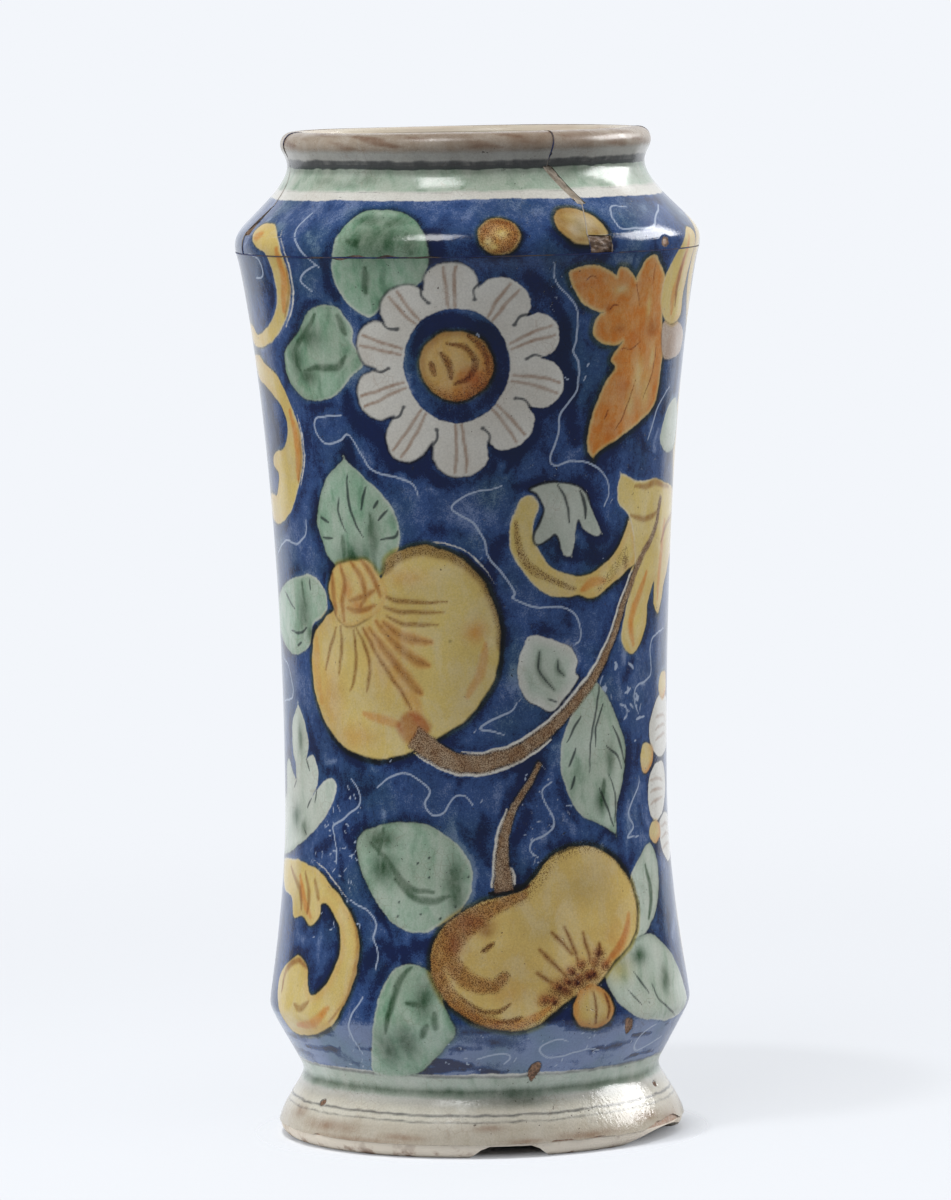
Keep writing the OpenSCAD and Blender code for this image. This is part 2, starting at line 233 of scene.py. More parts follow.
class Profile:
    """The outside of the glaze, by the length along it from the foot's edge."""
    steps_per_mm = 4

    def __init__(self, sizes):
        corners = outline_points(sizes)
        reach = np.concatenate([[0], np.cumsum(np.hypot(*np.diff(corners, axis=0).T))])
        self.along = np.linspace(0, reach[-1], int(self.steps_per_mm * reach[-1]))
        even = [np.interp(self.along, reach, column) for column in corners.T]
        self.points = softened(np.stack(even, axis=1))
        ways = np.gradient(self.points, self.along, axis=0)
        self.out = np.stack([ways[:, 1], -ways[:, 0]], axis=1)
        self.out /= np.linalg.norm(self.out, axis=1)[:, None]
        self.length = self.along[-1]

    def at(self, up):
        return [np.interp(up, self.along, column) for column in self.points.T]

    def facing(self, up):
        return [np.interp(up, self.along, column) for column in self.out.T]

    def up_to(self, height):
        return float(np.interp(height, self.points[:, 1], self.along))

    def place(self, turn, up, lift):
        """Points in metres, lifted off the outline by so many millimetres."""
        (radius, height), (out_r, out_z) = self.at(up), self.facing(up)
        radius = radius + lift * out_r
        height = height + lift * out_z
        return np.stack([radius * np.sin(turn), -radius * np.cos(turn), height], axis=-1) / 1000


# Drawing

def smooth_step(share):
    share = np.clip(share, 0, 1)
    return share * share * (3 - 2 * share)


def rounded(points, closed=True, steps=7):
    """A smooth line through the points."""
    p = np.array(points, float)
    if closed:
        p = np.vstack([p[-1], p, p[:2]])
    else:
        p = np.vstack([2 * p[0] - p[1], p, 2 * p[-1] - p[-2]])
    t = np.linspace(0, 1, steps, endpoint=False)[:, None]
    spans = [0.5 * (2 * b + (c - a) * t + (2 * a - 5 * b + 4 * c - d) * t**2
                    + (3 * b - a - 3 * c + d) * t**3)
             for a, b, c, d in zip(p, p[1:], p[2:], p[3:])]
    return np.vstack(spans) if closed else np.vstack([*spans, p[-2]])


def squared_gap(x, y, start, end):
    """Squared distance from points to one straight stretch."""
    way = end - start
    share = ((x - start[0]) * way[0] + (y - start[1]) * way[1]) / max(way @ way, 1e-9)
    share = np.clip(share, 0, 1)
    return (x - start[0] - share * way[0])**2 + (y - start[1] - share * way[1])**2


def inside_depth(x, y, line):
    """How far points lie inside a closed line; negative outside."""
    nearest = np.full(len(x), np.inf)
    inside = np.zeros(len(x), bool)
    for start, end in zip(line, np.roll(line, -1, axis=0)):
        nearest = np.minimum(nearest, squared_gap(x, y, start, end))
        crossed = (start[1] > y) != (end[1] > y)
        slope = (end[0] - start[0]) / (end[1] - start[1] or 1e-9)
        inside ^= crossed & (x < start[0] + slope * (y - start[1]))
    return np.where(inside, 1, -1) * np.sqrt(nearest)


def ellipse(centre, radii, count=18):
    a = np.linspace(0, 2 * math.pi, count, endpoint=False)
    return np.stack([centre[0] + radii[0] * np.cos(a), centre[1] + radii[1] * np.sin(a)], axis=1)


def waves(x, y, size, seed, count=9):
    """Soft random hills between about -1 and 1, without a seam where x is a length on the drum."""
    random = np.random.RandomState(seed)
    total = 0
    for _ in range(count):
        turns = round(random.normal() * DRUM_R / size)
        rise = random.normal() / size
        total = total + np.sin(turns * x / DRUM_R + rise * y + random.uniform(0, 2 * math.pi))
    return total / math.sqrt(count)


class Canvas:
    """The points to be painted and how strongly each layer of paint lies on them."""
    tremor = 0.16

    def __init__(self, around, up):
        self.around = around + self.tremor * waves(around, up, 1.5, 91)
        self.up = up + self.tremor * waves(around, up, 1.5, 92)
        self.order = np.argsort(self.up)
        self.heights = self.up[self.order]
        self.layers = {name: np.zeros(len(around)) for name in LAYERS}

    def window(self, line, margin):
        """The points near a line, and where they lie beside it."""
        low, high = line.min(0) - margin, line.max(0) + margin
        first, last = np.searchsorted(self.heights, (low[1], high[1]))
        near = self.order[first:last]
        middle = (low[0] + high[0]) / 2
        x = middle + (self.around[near] - middle + TURN / 2) % TURN - TURN / 2
        kept = (x > low[0]) & (x < high[0])
        return near[kept], x[kept], self.up[near[kept]]

    def raise_to(self, layer, near, strength):
        self.layers[layer][near] = np.maximum(self.layers[layer][near], strength)

    def ridge(self, points, half, ends):
        """The points near a stroke and how close they lie to its middle, from 0 at its edge to 1."""
        line = rounded(points, closed=False, steps=5)
        near, x, y = self.window(line, half + 0.1)
        share = (np.arange(len(line) - 1) + 0.5) / (len(line) - 1)
        reach = half * (ends + (1 - ends) * np.sin(math.pi * share)**0.7)
        height = np.zeros(len(x))
        for start, end, wide in zip(line, line[1:], reach):
            height = np.maximum(height, 1 - np.sqrt(squared_gap(x, y, start, end)) / wide)
        return near, height

    def line(self, layer, lines, half, strength=1.0, ends=0.5):
        """Fine lines, kept as ridges."""
        for points in lines:
            near, height = self.ridge(points, half, ends)
            self.raise_to(layer, near, strength * height)

    def stroke(self, layer, lines, half, strength=1.0, ends=0.35):
        """Brush strokes with soft edges."""
        for points in lines:
            near, height = self.ridge(points, half, ends)
            self.raise_to(layer, near, strength * smooth_step(1.4 * height))

    def smear(self, points, half, strength):
        """Thicker blue along a stroke, or thinner where the strength is below nought."""
        near, height = self.ridge(points, half, 0.6)
        self.layers["ink"][near] += strength * smooth_step(height)

    def spare(self, lines, half):
        """Lines left free of blue."""
        for points in lines:
            near, height = self.ridge(points, 2 * half, 0.5)
            ground = self.layers["ground"]
            spared = np.minimum(ground[near], half - 2 * half * height)
            ground[near] = np.where(height > 0, spared, ground[near])

    def blots(self, spots):
        """The points near each soft blot and how far it covers them, from 0 to 1."""
        for x0, y0, wide, tall in spots:
            box = np.array([(x0 - wide, y0 - tall), (x0 + wide, y0 + tall)])
            near, x, y = self.window(box, max(wide, tall))
            far = ((x - x0) / wide)**2 + ((y - y0) / tall)**2
            yield near, np.exp(-1.2 * far)

    def dabs(self, layer, spots, strength):
        """Puts paint on in soft blots."""
        for near, cover in self.blots(spots):
            self.raise_to(layer, near, strength * cover)

    def lift(self, layer, spots, share):
        """Takes paint off in soft blots."""
        for near, cover in self.blots(spots):
            self.layers[layer][near] *= 1 - share * cover

    def band(self, layer, low, high, strength, soft=0.6):
        """Paint all the way round between two heights, with a hand's unevenness."""
        shaky = self.up + 0.35 * waves(self.around, 0, 22, 5)
        cover = np.clip((shaky - low) / soft + 0.5, 0, 1) * np.clip((high - shaky) / soft + 0.5, 0, 1)
        self.raise_to(layer, EVERYWHERE, strength * cover)


class Patch:
    """One closed shape on the canvas: the points near it and how far inside it they lie."""
    margin = 7.0

    def __init__(self, canvas, points, smooth=True):
        line = rounded(points) if smooth else np.array(points, float)
        self.canvas = canvas
        self.near, self.x, self.y = canvas.window(line, self.margin)
        self.depth = inside_depth(self.x, self.y, line)
        self.middle = (line.min(0) + line.max(0)) / 2
        self.half = (line.max(0) - line.min(0)).max() / 2

    def towards(self, side):
        """1 at the side that an arrow points to, 0 at the other."""
        reach = ((self.x - self.middle[0]) * side[0] + (self.y - self.middle[1]) * side[1]) / self.half
        return np.clip(0.5 + 0.7 * reach / math.hypot(*side), 0, 1)

    def cover(self, grow=0.0, soft=0.4):
        return np.clip(0.5 + (self.depth + grow) / (2 * soft), 0, 1)

    def clear(self, ground):
        """Takes off what was painted on the shape, and sets how deep in the blue its points lie."""
        self.canvas.layers["ground"][self.near] = ground
        for name in (*WASHES, *LINES):
            self.canvas.layers[name][self.near] *= 1 - self.cover()
        return self

    def reserve(self):
        """Keeps the blue ground off the shape."""
        return self.clear(np.minimum(self.canvas.layers["ground"][self.near], -self.depth))

    def flood(self):
        """Lays the blue ground inside the shape."""
        return self.clear(np.maximum(self.canvas.layers["ground"][self.near], np.minimum(self.depth, FAR)))

    def wash(self, layer, strength, grow=0.4, gap=0.0, side=(-1, 1), soft=0.5):
        """Fills the shape, a little past its edge, or short of it by a gap on one side."""
        reach = grow - (grow + gap) * self.towards(side) if gap else grow
        self.canvas.raise_to(layer, self.near, strength * self.cover(reach, soft))
        return self

    def edge(self, layer, strength, width, side=None, inset=0.0):
        """Shades the inside along the edge."""
        shade = np.exp(-((self.depth - inset) / width)**2) * self.cover(0.5)
        if side:
            shade = shade * self.towards(side)
        self.canvas.raise_to(layer, self.near, strength * shade)
        return self

    def contour(self, width=0.5, strength=1.0, side=None):
        """A dark line along the edge."""
        ridge = np.clip(1 - np.abs(self.depth + 0.1) / width, 0, 1) * strength
        if side:
            ridge = ridge * np.clip(2 * self.towards(side), 0, 1)
        self.canvas.raise_to("line", self.near, ridge)
        return self

    def halo(self, strength=0.7, width=1.8, side=None):
        """Darker blue round the outside, or paler where the strength is below nought."""
        shade = np.exp(-(np.maximum(-self.depth, 0) / width)**2)
        if side:
            shade = shade * self.towards(side)**1.5
        self.canvas.layers["ink"][self.near] += strength * shade
        return self


def moved(points, around=0, up=0, mirror=False):
    """A drawing's points set down elsewhere, mirrored about its middle if asked."""
    p = np.array(points, float)
    middle = (p.min(0) + p.max(0)) / 2
    flip = (-1, 1) if mirror else (1, 1)
    return middle + (p - middle) * flip + (around, up)


# The motifs

DOWN_RIGHT = (1, -1)
UP_LEFT = (-1, 1)


def leaf(canvas, points, wash=0.7, light=UP_LEFT, deep=(), streaks=(), veins=(), vein=0.7):
    """A leaf washed with green, left paler along the edge on its light side."""
    dark = (-light[0], -light[1])
    patch = Patch(canvas, points).reserve()
    patch.wash("green", wash, 1.0, gap=0.1, side=light, soft=0.9)
    patch.halo(0.6, 2.4, dark).halo(-0.5, 1.1, light)
    patch.edge("deep_green", 0.45, 1.2, dark).contour(0.5, 0.5, dark)
    canvas.dabs("deep_green", deep, 0.9)
    canvas.stroke("deep_green", streaks, 1.7, 0.85)
    canvas.line("line", veins, vein, 0.9, 0.4)
    return patch


def fruit(canvas, points):
    """A yellow fruit, whose wash runs into the blue on its dark side."""
    patch = Patch(canvas, points).reserve()
    patch.wash("yellow", 1.0, 1.3).edge("orange", 0.22, 3.5, UP_LEFT)
    patch.halo(0.9, 2.6, DOWN_RIGHT).halo(0.3, 1.6, UP_LEFT)
    return patch.contour(1.0, 0.65, DOWN_RIGHT).contour(0.7, 0.45, UP_LEFT)


def scroll(canvas, points, dark=(1, -0.4)):
    """A yellow scroll with an ochre line inside its dark edge."""
    patch = Patch(canvas, points).reserve()
    patch.wash("yellow", 1.0, 1.2, gap=0.1, side=(-dark[0], -dark[1]))
    patch.edge("orange", 0.25, 1.2, dark, 1.0).contour(0.7, 0.6, dark)
    return patch.halo(0.7, 1.8, dark).halo(-0.4, 1.0, (-dark[0], -dark[1]))


DAISY_MIDDLE = (-3.5, 226)
DAISY_NOTCHES = (-177.6, -141.9, -108.8, -68.6, -30.7, 3.8, 35.5, 74, 110.9, 147.3)
DAISY_TIPS = (31, 32, 32, 29, 31, 30, 28.5, 29.5, 27.5, 29)
DAISY_PETALS = tuple(zip(DAISY_NOTCHES, (*DAISY_NOTCHES[1:], DAISY_NOTCHES[0] + 360), DAISY_TIPS))
DAISY_NOTCH_R = 23.0
DAISY_SWIRLS = (
    [(-2.5, 6.2), (2.4, 5.1), (5, 1.3), (3.3, -3.6), (-0.5, -5.3)], [(3.3, 8.6), (7.6, 4.5), (8.4, -2.2)],
    [(-4.3, 3.3), (-1.9, 0.1), (-1.4, -3.6)], [(-6.8, 0.5), (-6.2, -2.5)])


def daisy_outline(middle, scale):
    """Round lobes between the notches, each with its own reach."""
    angles, radii = [], []
    for low, high, tip in DAISY_PETALS:
        t = np.linspace(0, 1, 12, endpoint=False)
        angles.append(np.radians(low + (high - low) * t))
        radii.append(DAISY_NOTCH_R + (tip - DAISY_NOTCH_R) * np.sin(math.pi * t)**0.5)
    a, r = np.concatenate(angles), np.concatenate(radii) * scale
    return np.stack([middle[0] + r * np.cos(a), middle[1] + r * np.sin(a)], axis=1)


def ray(middle, degrees, near, far, bend):
    """A line that runs out from a middle, turned aside by some degrees halfway."""
    spots = ((near, 0), ((near + far) / 2, bend), (far, 0))
    a = [(math.radians(degrees + aside), r) for r, aside in spots]
    return [(middle[0] + r * math.cos(t), middle[1] + r * math.sin(t)) for t, r in a]


def daisy(canvas, middle, scale=1.0):
    petals = Patch(canvas, daisy_outline(middle, scale), smooth=False).reserve()
    petals.wash("taupe", 0.16, 0.2).contour(1.1, 0.62, (-1, 0.1))
    petals.halo(0.9, 3.4, DOWN_RIGHT).halo(-0.3, 1.0, UP_LEFT)
    for notch, after, tip in DAISY_PETALS:
        hook = ray(middle, notch, 19.2 * scale, 24.5 * scale, 2.5)
        canvas.line("line", [hook], 0.75, 0.9, 0.9)
        canvas.dabs("line", [(*hook[0], 0.9, 0.7)], 0.85)
        for aside in (-3.4, 2.8):
            line = ray(middle, (notch + after) / 2 + aside, 15.9 * scale, (tip - 1.4) * scale, 0.8)
            canvas.stroke("brown", [line], 0.8, 0.8, 0.7)
    ring = Patch(canvas, ellipse(middle, (14.7 * scale, 16.3 * scale))).flood()
    canvas.smear(ellipse(middle, (12 * scale, 12.5 * scale))[1:9], 4.5, 0.8)
    ring.edge("ink", 0.25, 1.2)
    eye = Patch(canvas, ellipse(middle, (10.1 * scale, 10 * scale))).reserve()
    eye.wash("yellow", 1.0, 0.9).wash("orange", 0.35, 0.2).edge("orange", 0.9, 3.6, DOWN_RIGHT, 1.6)
    eye.edge("brown", 0.6, 1.1, inset=0.7)
    x, y = middle
    canvas.dabs("red", [(x + 4, y - 4.5, 4.5, 4)], 0.7)
    canvas.dabs("orange", [(x + 4.5, y - 4, 6, 5)], 0.9)
    swirls = [[(x + scale * dx, y + scale * dy) for dx, dy in line] for line in DAISY_SWIRLS]
    canvas.stroke("brown", swirls, 1.4, 0.95)
    canvas.stroke("stipple", swirls, 1.5, 0.4)
    eye.contour(0.9, 0.6).edge("stipple", 0.4, 3.0, DOWN_RIGHT)


def berry(canvas, middle, radii):
    skin = Patch(canvas, ellipse(middle, radii)).reserve()
    skin.wash("yellow", 1.0, 0.8).wash("orange", 0.7, -0.6)
    skin.contour(0.8, 0.5, DOWN_RIGHT).halo(0.7, 1.8, DOWN_RIGHT)
    skin.edge("brown", 0.8, 2.0, inset=0.9).wash("stipple", 0.5, -0.2)
    x, y = middle
    spots = [(x + 0.8, y + 0.4, 1.9, 1.8), (x - 3, y - 2.2, 1.5, 1.5), (x - 1.5, y - 3.8, 1.6, 1.2)]
    for layer in ("orange", "stipple", "brown"):
        canvas.lift(layer, spots, 0.95)


def stem(canvas, points, wide, narrow, lights=()):
    """A tapering, stippled stem, with pale lines along stretches of its right (1) or left (-1) side."""
    line = rounded(points, closed=False, steps=6)
    way = np.gradient(line, axis=0)
    side = np.stack([way[:, 1], -way[:, 0]], axis=1) / np.hypot(*way.T)[:, None]
    half = np.geomspace(wide, narrow, len(line))[:, None] / 2
    outline = np.vstack([line + half * side, (line - half * side)[::-1]])
    patch = Patch(canvas, outline, smooth=False).reserve()
    patch.wash("brown", 0.95, 0.3).wash("yellow", 0.5, 0.3).wash("stipple", 0.5, 0.2)
    patch.edge("stipple", 0.7, 0.9).halo(0.6, 1.5)
    for turn, first, last in lights:
        stretch = slice(int(first * len(line)), int(last * len(line)), 5)
        canvas.spare([(line + turn * (half + 0.75) * side)[stretch]], 0.5)


ROUND_SPOTS = (
    (-15, 86), (-18.5, 84.5), (-15, 80.5), (-24.5, 73.5), (-25, 69.5), (-17.5, 70), (-11.5, 69), (-7, 72.5),
    (-3, 80.5))
LEAVES = {
    "big": dict(
        points=[(-30.5, 272.5), (-24, 273), (-18, 271.5), (-13, 267.5), (-10, 260), (-10, 254.5),
                (-13, 249.5), (-21, 245), (-26.5, 240), (-31.5, 242), (-35.5, 246.5), (-37, 253),
                (-36, 259.5), (-35, 265), (-33.5, 269)],
        wash=0.95, light=(-0.4, -1),
        deep=[(-29, 261.5, 3.4, 3), (-27, 269, 6, 3), (-15, 260.5, 3.4, 5), (-20, 268, 6, 3),
              (-23, 262, 12, 7)],
        streaks=[[(-32, 262), (-28.5, 260)], [(-27, 254), (-27.5, 247)], [(-16, 264), (-14, 258)]]),
    "small": dict(
        points=[(-41.5, 243), (-37, 242.5), (-34.5, 239.5), (-32.5, 236), (-33, 232.5), (-31, 229),
                (-30.5, 226), (-34, 223), (-40, 217.5), (-45, 216), (-52, 216), (-57, 218.5), (-60.5, 223),
                (-60.5, 228.5), (-56, 232.5), (-51.5, 236), (-49, 239.5), (-46, 242)],
        wash=0.9, light=(1, -0.3), deep=[(-55, 228, 3.4, 6), (-50.5, 222.5, 4, 2.5), (-48, 234, 5, 4)],
        streaks=[[(-45, 240.5), (-48.5, 236), (-53.5, 231.5), (-56, 228), (-53.5, 224)],
                 [(-51.5, 224), (-45.5, 225), (-39, 225.5), (-36, 228.5)], [(-37, 240), (-35, 235)]]),
    "veined": dict(
        points=[(-39, 199.5), (-39, 199.5), (-46, 193.5), (-50, 187.5), (-51.7, 181), (-50, 175.5),
                (-47, 170), (-36, 165), (-27.5, 167), (-23, 172.5), (-21.7, 179), (-23.5, 185.5),
                (-29, 191.5)],
        wash=0.88, light=(1, 0.2), deep=[(-30.5, 176, 2.2, 8), (-37, 171, 9, 5)],
        streaks=[[(-31, 183.5), (-31, 176), (-30, 168)], [(-41.5, 177), (-41, 170)]],
        veins=[[(-38, 195), (-38.5, 190), (-38, 184.5), (-34, 177)],
               [(-42, 188), (-42.5, 183.5), (-40, 178.5)], [(-32, 191.5), (-34, 185)],
               [(-28, 187.5), (-29.5, 185.5)], [(-25, 185), (-28.5, 182)], [(-50, 182.5), (-46.5, 181)],
               [(-49.5, 176.5), (-45.5, 176.5)], [(-22, 179.5), (-23.5, 177.5), (-28, 176.5)]], vein=0.9),
    "left": dict(
        points=[(-64, 164.5), (-56.5, 165.5), (-50.5, 162), (-49.5, 157.5), (-51.5, 154), (-57, 151),
                (-59.5, 145), (-69.5, 141.6), (-78, 143.5), (-89, 147.5), (-96, 150), (-88, 156),
                (-76, 161.5)],
        wash=0.8, light=(1, 0.3), deep=[(-62, 155, 4, 6), (-58, 148, 3, 3)],
        streaks=[[(-62, 163), (-61, 152)]],
        veins=[[(-76, 159.5), (-68, 155)], [(-57.5, 164.5), (-57.5, 161)],
               [(-71.5, 148.5), (-64, 148.5), (-60.5, 150)], [(-67.5, 144.5), (-64.5, 145.5)]], vein=0.9),
    "pointed": dict(
        points=[(40, 134.8), (40, 134.8), (46, 128), (51, 119.5), (53, 113.5), (51.4, 105.5), (48.5, 98),
                (47.6, 90.5), (47.6, 90.5), (42, 93.5), (34, 97), (29.5, 103), (27.1, 111.5), (28, 119.5),
                (33, 128.5)],
        wash=0.64, light=(-1, 0.3), deep=[(42, 100, 3, 4), (46, 112, 2, 5)], streaks=[[(43, 106), (42, 99)]],
        veins=[[(41, 134), (41, 129.5), (38, 118), (37.5, 109)], [(43, 128), (40, 121.5), (40, 116)],
               [(47, 121.5), (50.5, 116), (52.5, 110.5)], [(44.5, 116), (49, 113), (51, 109)],
               [(34.5, 125), (32, 122), (29.5, 118)], [(32.5, 116), (30, 111)], [(32, 108), (30.5, 104.5)],
               [(45, 108), (48, 101), (47.4, 94)], [(41, 104), (44.5, 98), (46.5, 93)]], vein=0.85),
    "round": dict(
        points=[(-29, 95.5), (-22, 96.5), (-14, 95), (-8, 91.5), (-3.5, 87), (-1.5, 81.5), (-2.5, 75.5),
                (-6, 71), (-12, 67), (-17, 65), (-23, 66), (-29, 70), (-34, 76), (-38, 82.5), (-40, 89),
                (-37, 93)],
        wash=0.78, light=(1, -0.6),
        deep=[(-7, 80, 3.2, 7), (-31, 91, 6, 3.4), (-30, 83, 5, 5), (-6.5, 75, 2.8, 4.4)],
        streaks=[[(-34.5, 90), (-30, 86.5), (-26, 82), (-21, 77.5), (-13.5, 76.5)], [(-30, 94), (-31.5, 87)],
                 [(-26, 80), (-19.5, 75), (-13.5, 74), (-8.5, 75.5)], [(-8, 83), (-6, 77.5), (-7, 73)]],
        veins=[[(x, y), (x + 0.4, y + 0.3)] for x, y in ROUND_SPOTS], vein=0.7),
    "low": dict(
        points=[(-20, 56), (-25, 54.5), (-29, 49), (-30.5, 43.5), (-32, 36), (-35, 27.5), (-36, 21.5),
                (-22.5, 21.5), (-15.5, 26), (-9, 33.5), (-7, 37.5), (-10, 44), (-13, 52.5), (-16, 55)],
        wash=0.9, light=(-1, 0.2), deep=[(-16, 46, 3, 6), (-22, 33, 4, 6), (-28, 30, 4, 6)],
        streaks=[[(-20, 55), (-23.5, 51.5), (-25, 47), (-26.5, 41.5), (-28, 36)],
                 [(-21, 45), (-16.5, 44.5), (-15, 46)], [(-15, 39), (-17, 35)], [(-13, 42.5), (-12.5, 38)]]),
    "side": dict(
        points=[(66, 86), (58.5, 82.5), (53.5, 78), (53.5, 73), (54, 66), (51, 59), (57, 60.5), (64.5, 65.5),
                (69.5, 72), (70.5, 79.5)],
        wash=0.45, light=(-1, 0), streaks=[[(62, 80), (64, 72), (61, 65)]]),
    "calyx": dict(
        points=[(38.5, 52), (38.5, 52), (45, 55.5), (50.5, 59), (60, 60.5), (71, 55), (79.5, 46.5),
                (82.5, 38.5), (78, 35), (67.5, 34.5), (52, 37), (44.5, 41), (40.5, 46)],
        wash=0.5, light=(0.4, -1), deep=[(54, 55, 4, 3), (66, 47, 3, 4)],
        veins=[[(58, 46.5), (61.5, 41), (73, 35)], [(47, 46), (52, 41)], [(50, 51), (56, 44)]]),
    "jagged": dict(
        points=[(-69.3, 127.8), (-69.3, 127.8), (-65, 123), (-62.5, 117), (-64.5, 112), (-64.5, 112),
                (-60, 113.5), (-57.5, 109.5), (-58, 105), (-61.5, 101), (-61.5, 101), (-56.5, 105),
                (-51, 107.5), (-48.2, 105.5), (-50.5, 100), (-56, 94.5), (-65, 89), (-78, 84.3), (-92, 82.5),
                (-99, 88), (-93, 97), (-85, 101), (-84.5, 107.5), (-80.5, 111), (-76, 108), (-72, 105.5),
                (-72, 105.5), (-72.5, 110), (-75, 114), (-74.8, 121)],
        wash=0.4, light=(1, 0.5), deep=[(-73, 95, 5, 5), (-66, 92, 3, 3), (-68, 118, 2, 5)],
        veins=[[(-64.5, 112), (-62.5, 109)], [(-61.5, 101), (-64, 98)], [(-72, 105.5), (-74.5, 103)],
               [(-66, 92), (-64.5, 90.5)], [(-58, 104), (-59.5, 100)]]),
    "edge": dict(
        points=[(69, 203), (72, 199), (79, 197.5), (86, 200), (88, 207), (82, 213), (74, 211)],
        wash=0.45),
}
TULIP = [
    (17, 190.5), (20, 191.5), (25, 192), (32, 191), (35.5, 188), (38, 183), (41.5, 177), (41.5, 177),
    (39, 176), (35, 178.5), (33, 181), (32, 176.5), (30.6, 170.8), (30.6, 170.8), (28, 171.5), (25.5, 177),
    (23, 176), (19.5, 174.5), (18.5, 177), (21, 182), (21.5, 185), (19, 189)]
TULIP_LINES = ([(26, 191), (28.5, 187), (30, 180.5)], [(33, 189.5), (35, 185.5), (35.5, 181.5)])
PALE_LEAF = [
    (17, 148.5), (23, 148), (30, 145), (33, 141.5), (32.5, 137.5), (33.5, 135.5), (28, 130), (24.5, 127),
    (20, 128.5), (16, 131), (13.5, 136.5), (13.5, 141.5), (15, 145.5)]
PALE_LEAF_LINES = (
    [(20, 144), (20, 139.5), (22, 136), (25, 133)], [(26, 141.5), (26.5, 139), (28.5, 137)],
    [(23, 130.5), (26, 129.5)])
EDGE_PETALS = (
    [(67.6, 121), (67.6, 115.5), (72, 111.2), (80, 110), (90, 113), (92, 121), (84, 128), (74, 127.5)],
    [(65.7, 100), (67, 94.6), (72, 91.9), (80, 94.5), (84.5, 101), (80.5, 108), (72, 108.6), (67.3, 105)],
    [(75, 91.5), (82, 93.5), (91, 91), (92, 82), (84, 79), (77, 82), (74.3, 87)])
EDGE_STAMENS = (
    [(61, 110.5), (63, 115), (67.8, 114.3), (70.3, 111), (67, 107), (63, 106.7)],
    [(66, 89.5), (68.5, 92), (74, 91.3), (74.5, 87.7), (70.5, 85.8), (66.8, 87)],
    [(75, 130), (78, 134.2), (85, 133.5), (86, 128.5), (79, 126.7)])


def leaves(canvas):
    for drawing in LEAVES.values():
        leaf(canvas, **drawing)
    canvas.dabs("yellow", [(44, 52, 6, 4)], 0.7)


def white_flowers(canvas):
    tulip = Patch(canvas, TULIP).reserve()
    tulip.wash("grey", 0.35, 0.8).wash("green", 0.35, 0.4).contour(0.8, 0.85, UP_LEFT).halo(0.6, 2)
    canvas.line("line", TULIP_LINES, 0.9, 0.95)
    canvas.stroke("grey", TULIP_LINES, 1.6, 0.8)
    pale = Patch(canvas, PALE_LEAF).reserve()
    pale.wash("grey", 0.2, 0.8).wash("green", 0.5, -1.6, soft=2)
    pale.contour(0.6, 0.7, DOWN_RIGHT).halo(0.6, 2.2, DOWN_RIGHT)
    canvas.line("line", PALE_LEAF_LINES, 0.8, 0.8)
    canvas.stroke("deep_green", PALE_LEAF_LINES[:2], 2.0, 0.5)
    for petal in EDGE_PETALS:
        Patch(canvas, petal).reserve().contour(0.6, 0.8).halo(0.6, 1.8)
        x, y = np.mean(petal, axis=0)
        canvas.stroke("brown", [[(x - 6, y + 1.1 * rise), (x, y + rise + 0.6), (x + 6, y + 0.8 * rise)]
                                for rise in (-3, 0, 3)], 0.8, 0.65)
    for stamen in EDGE_STAMENS:
        patch = Patch(canvas, stamen).reserve()
        patch.wash("yellow", 0.9).edge("orange", 0.8, 1.6, DOWN_RIGHT).contour(0.5, 0.5)


PALMATE_LEAF = [
    (27, 251.5), (29, 253), (34, 253.5), (39, 252), (42, 250), (42, 250), (43, 252.5), (45.5, 252),
    (49, 249), (49, 249), (50.5, 251.5), (52.5, 254.5), (56, 255.5), (59.5, 252.5), (62.5, 249), (63.5, 243),
    (64, 236), (66.5, 231), (66, 223), (64, 213), (57, 208), (48, 204), (40.5, 200.5), (37.5, 198),
    (37.5, 198), (35.2, 201), (35.5, 206), (37.5, 213.5), (41, 220), (44, 223.5), (42.5, 225.5), (43, 227.5),
    (46, 231), (46, 231), (42.5, 230), (37.5, 231.5), (35.5, 234), (36, 237.5), (38, 239.8), (38, 239.8),
    (32.5, 242), (29.5, 245.5)]
PALE_SPUR = [(64.5, 235.5), (70, 236), (78, 234.5), (84, 231), (82, 226.5), (73, 225), (66.5, 226)]
PALMATE_MARKS = (
    [(32, 249), (34, 250.5), (36, 249.5)], [(40.5, 240.5), (42, 242), (44, 241.5)],
    [(46, 229.5), (50, 229), (54, 231)], [(41, 209), (42.5, 212)], [(45, 206), (49, 211), (53, 220)],
    [(57, 253), (56.5, 247)], [(49.5, 248), (52, 241)], [(62, 230), (61, 222), (57, 214)])


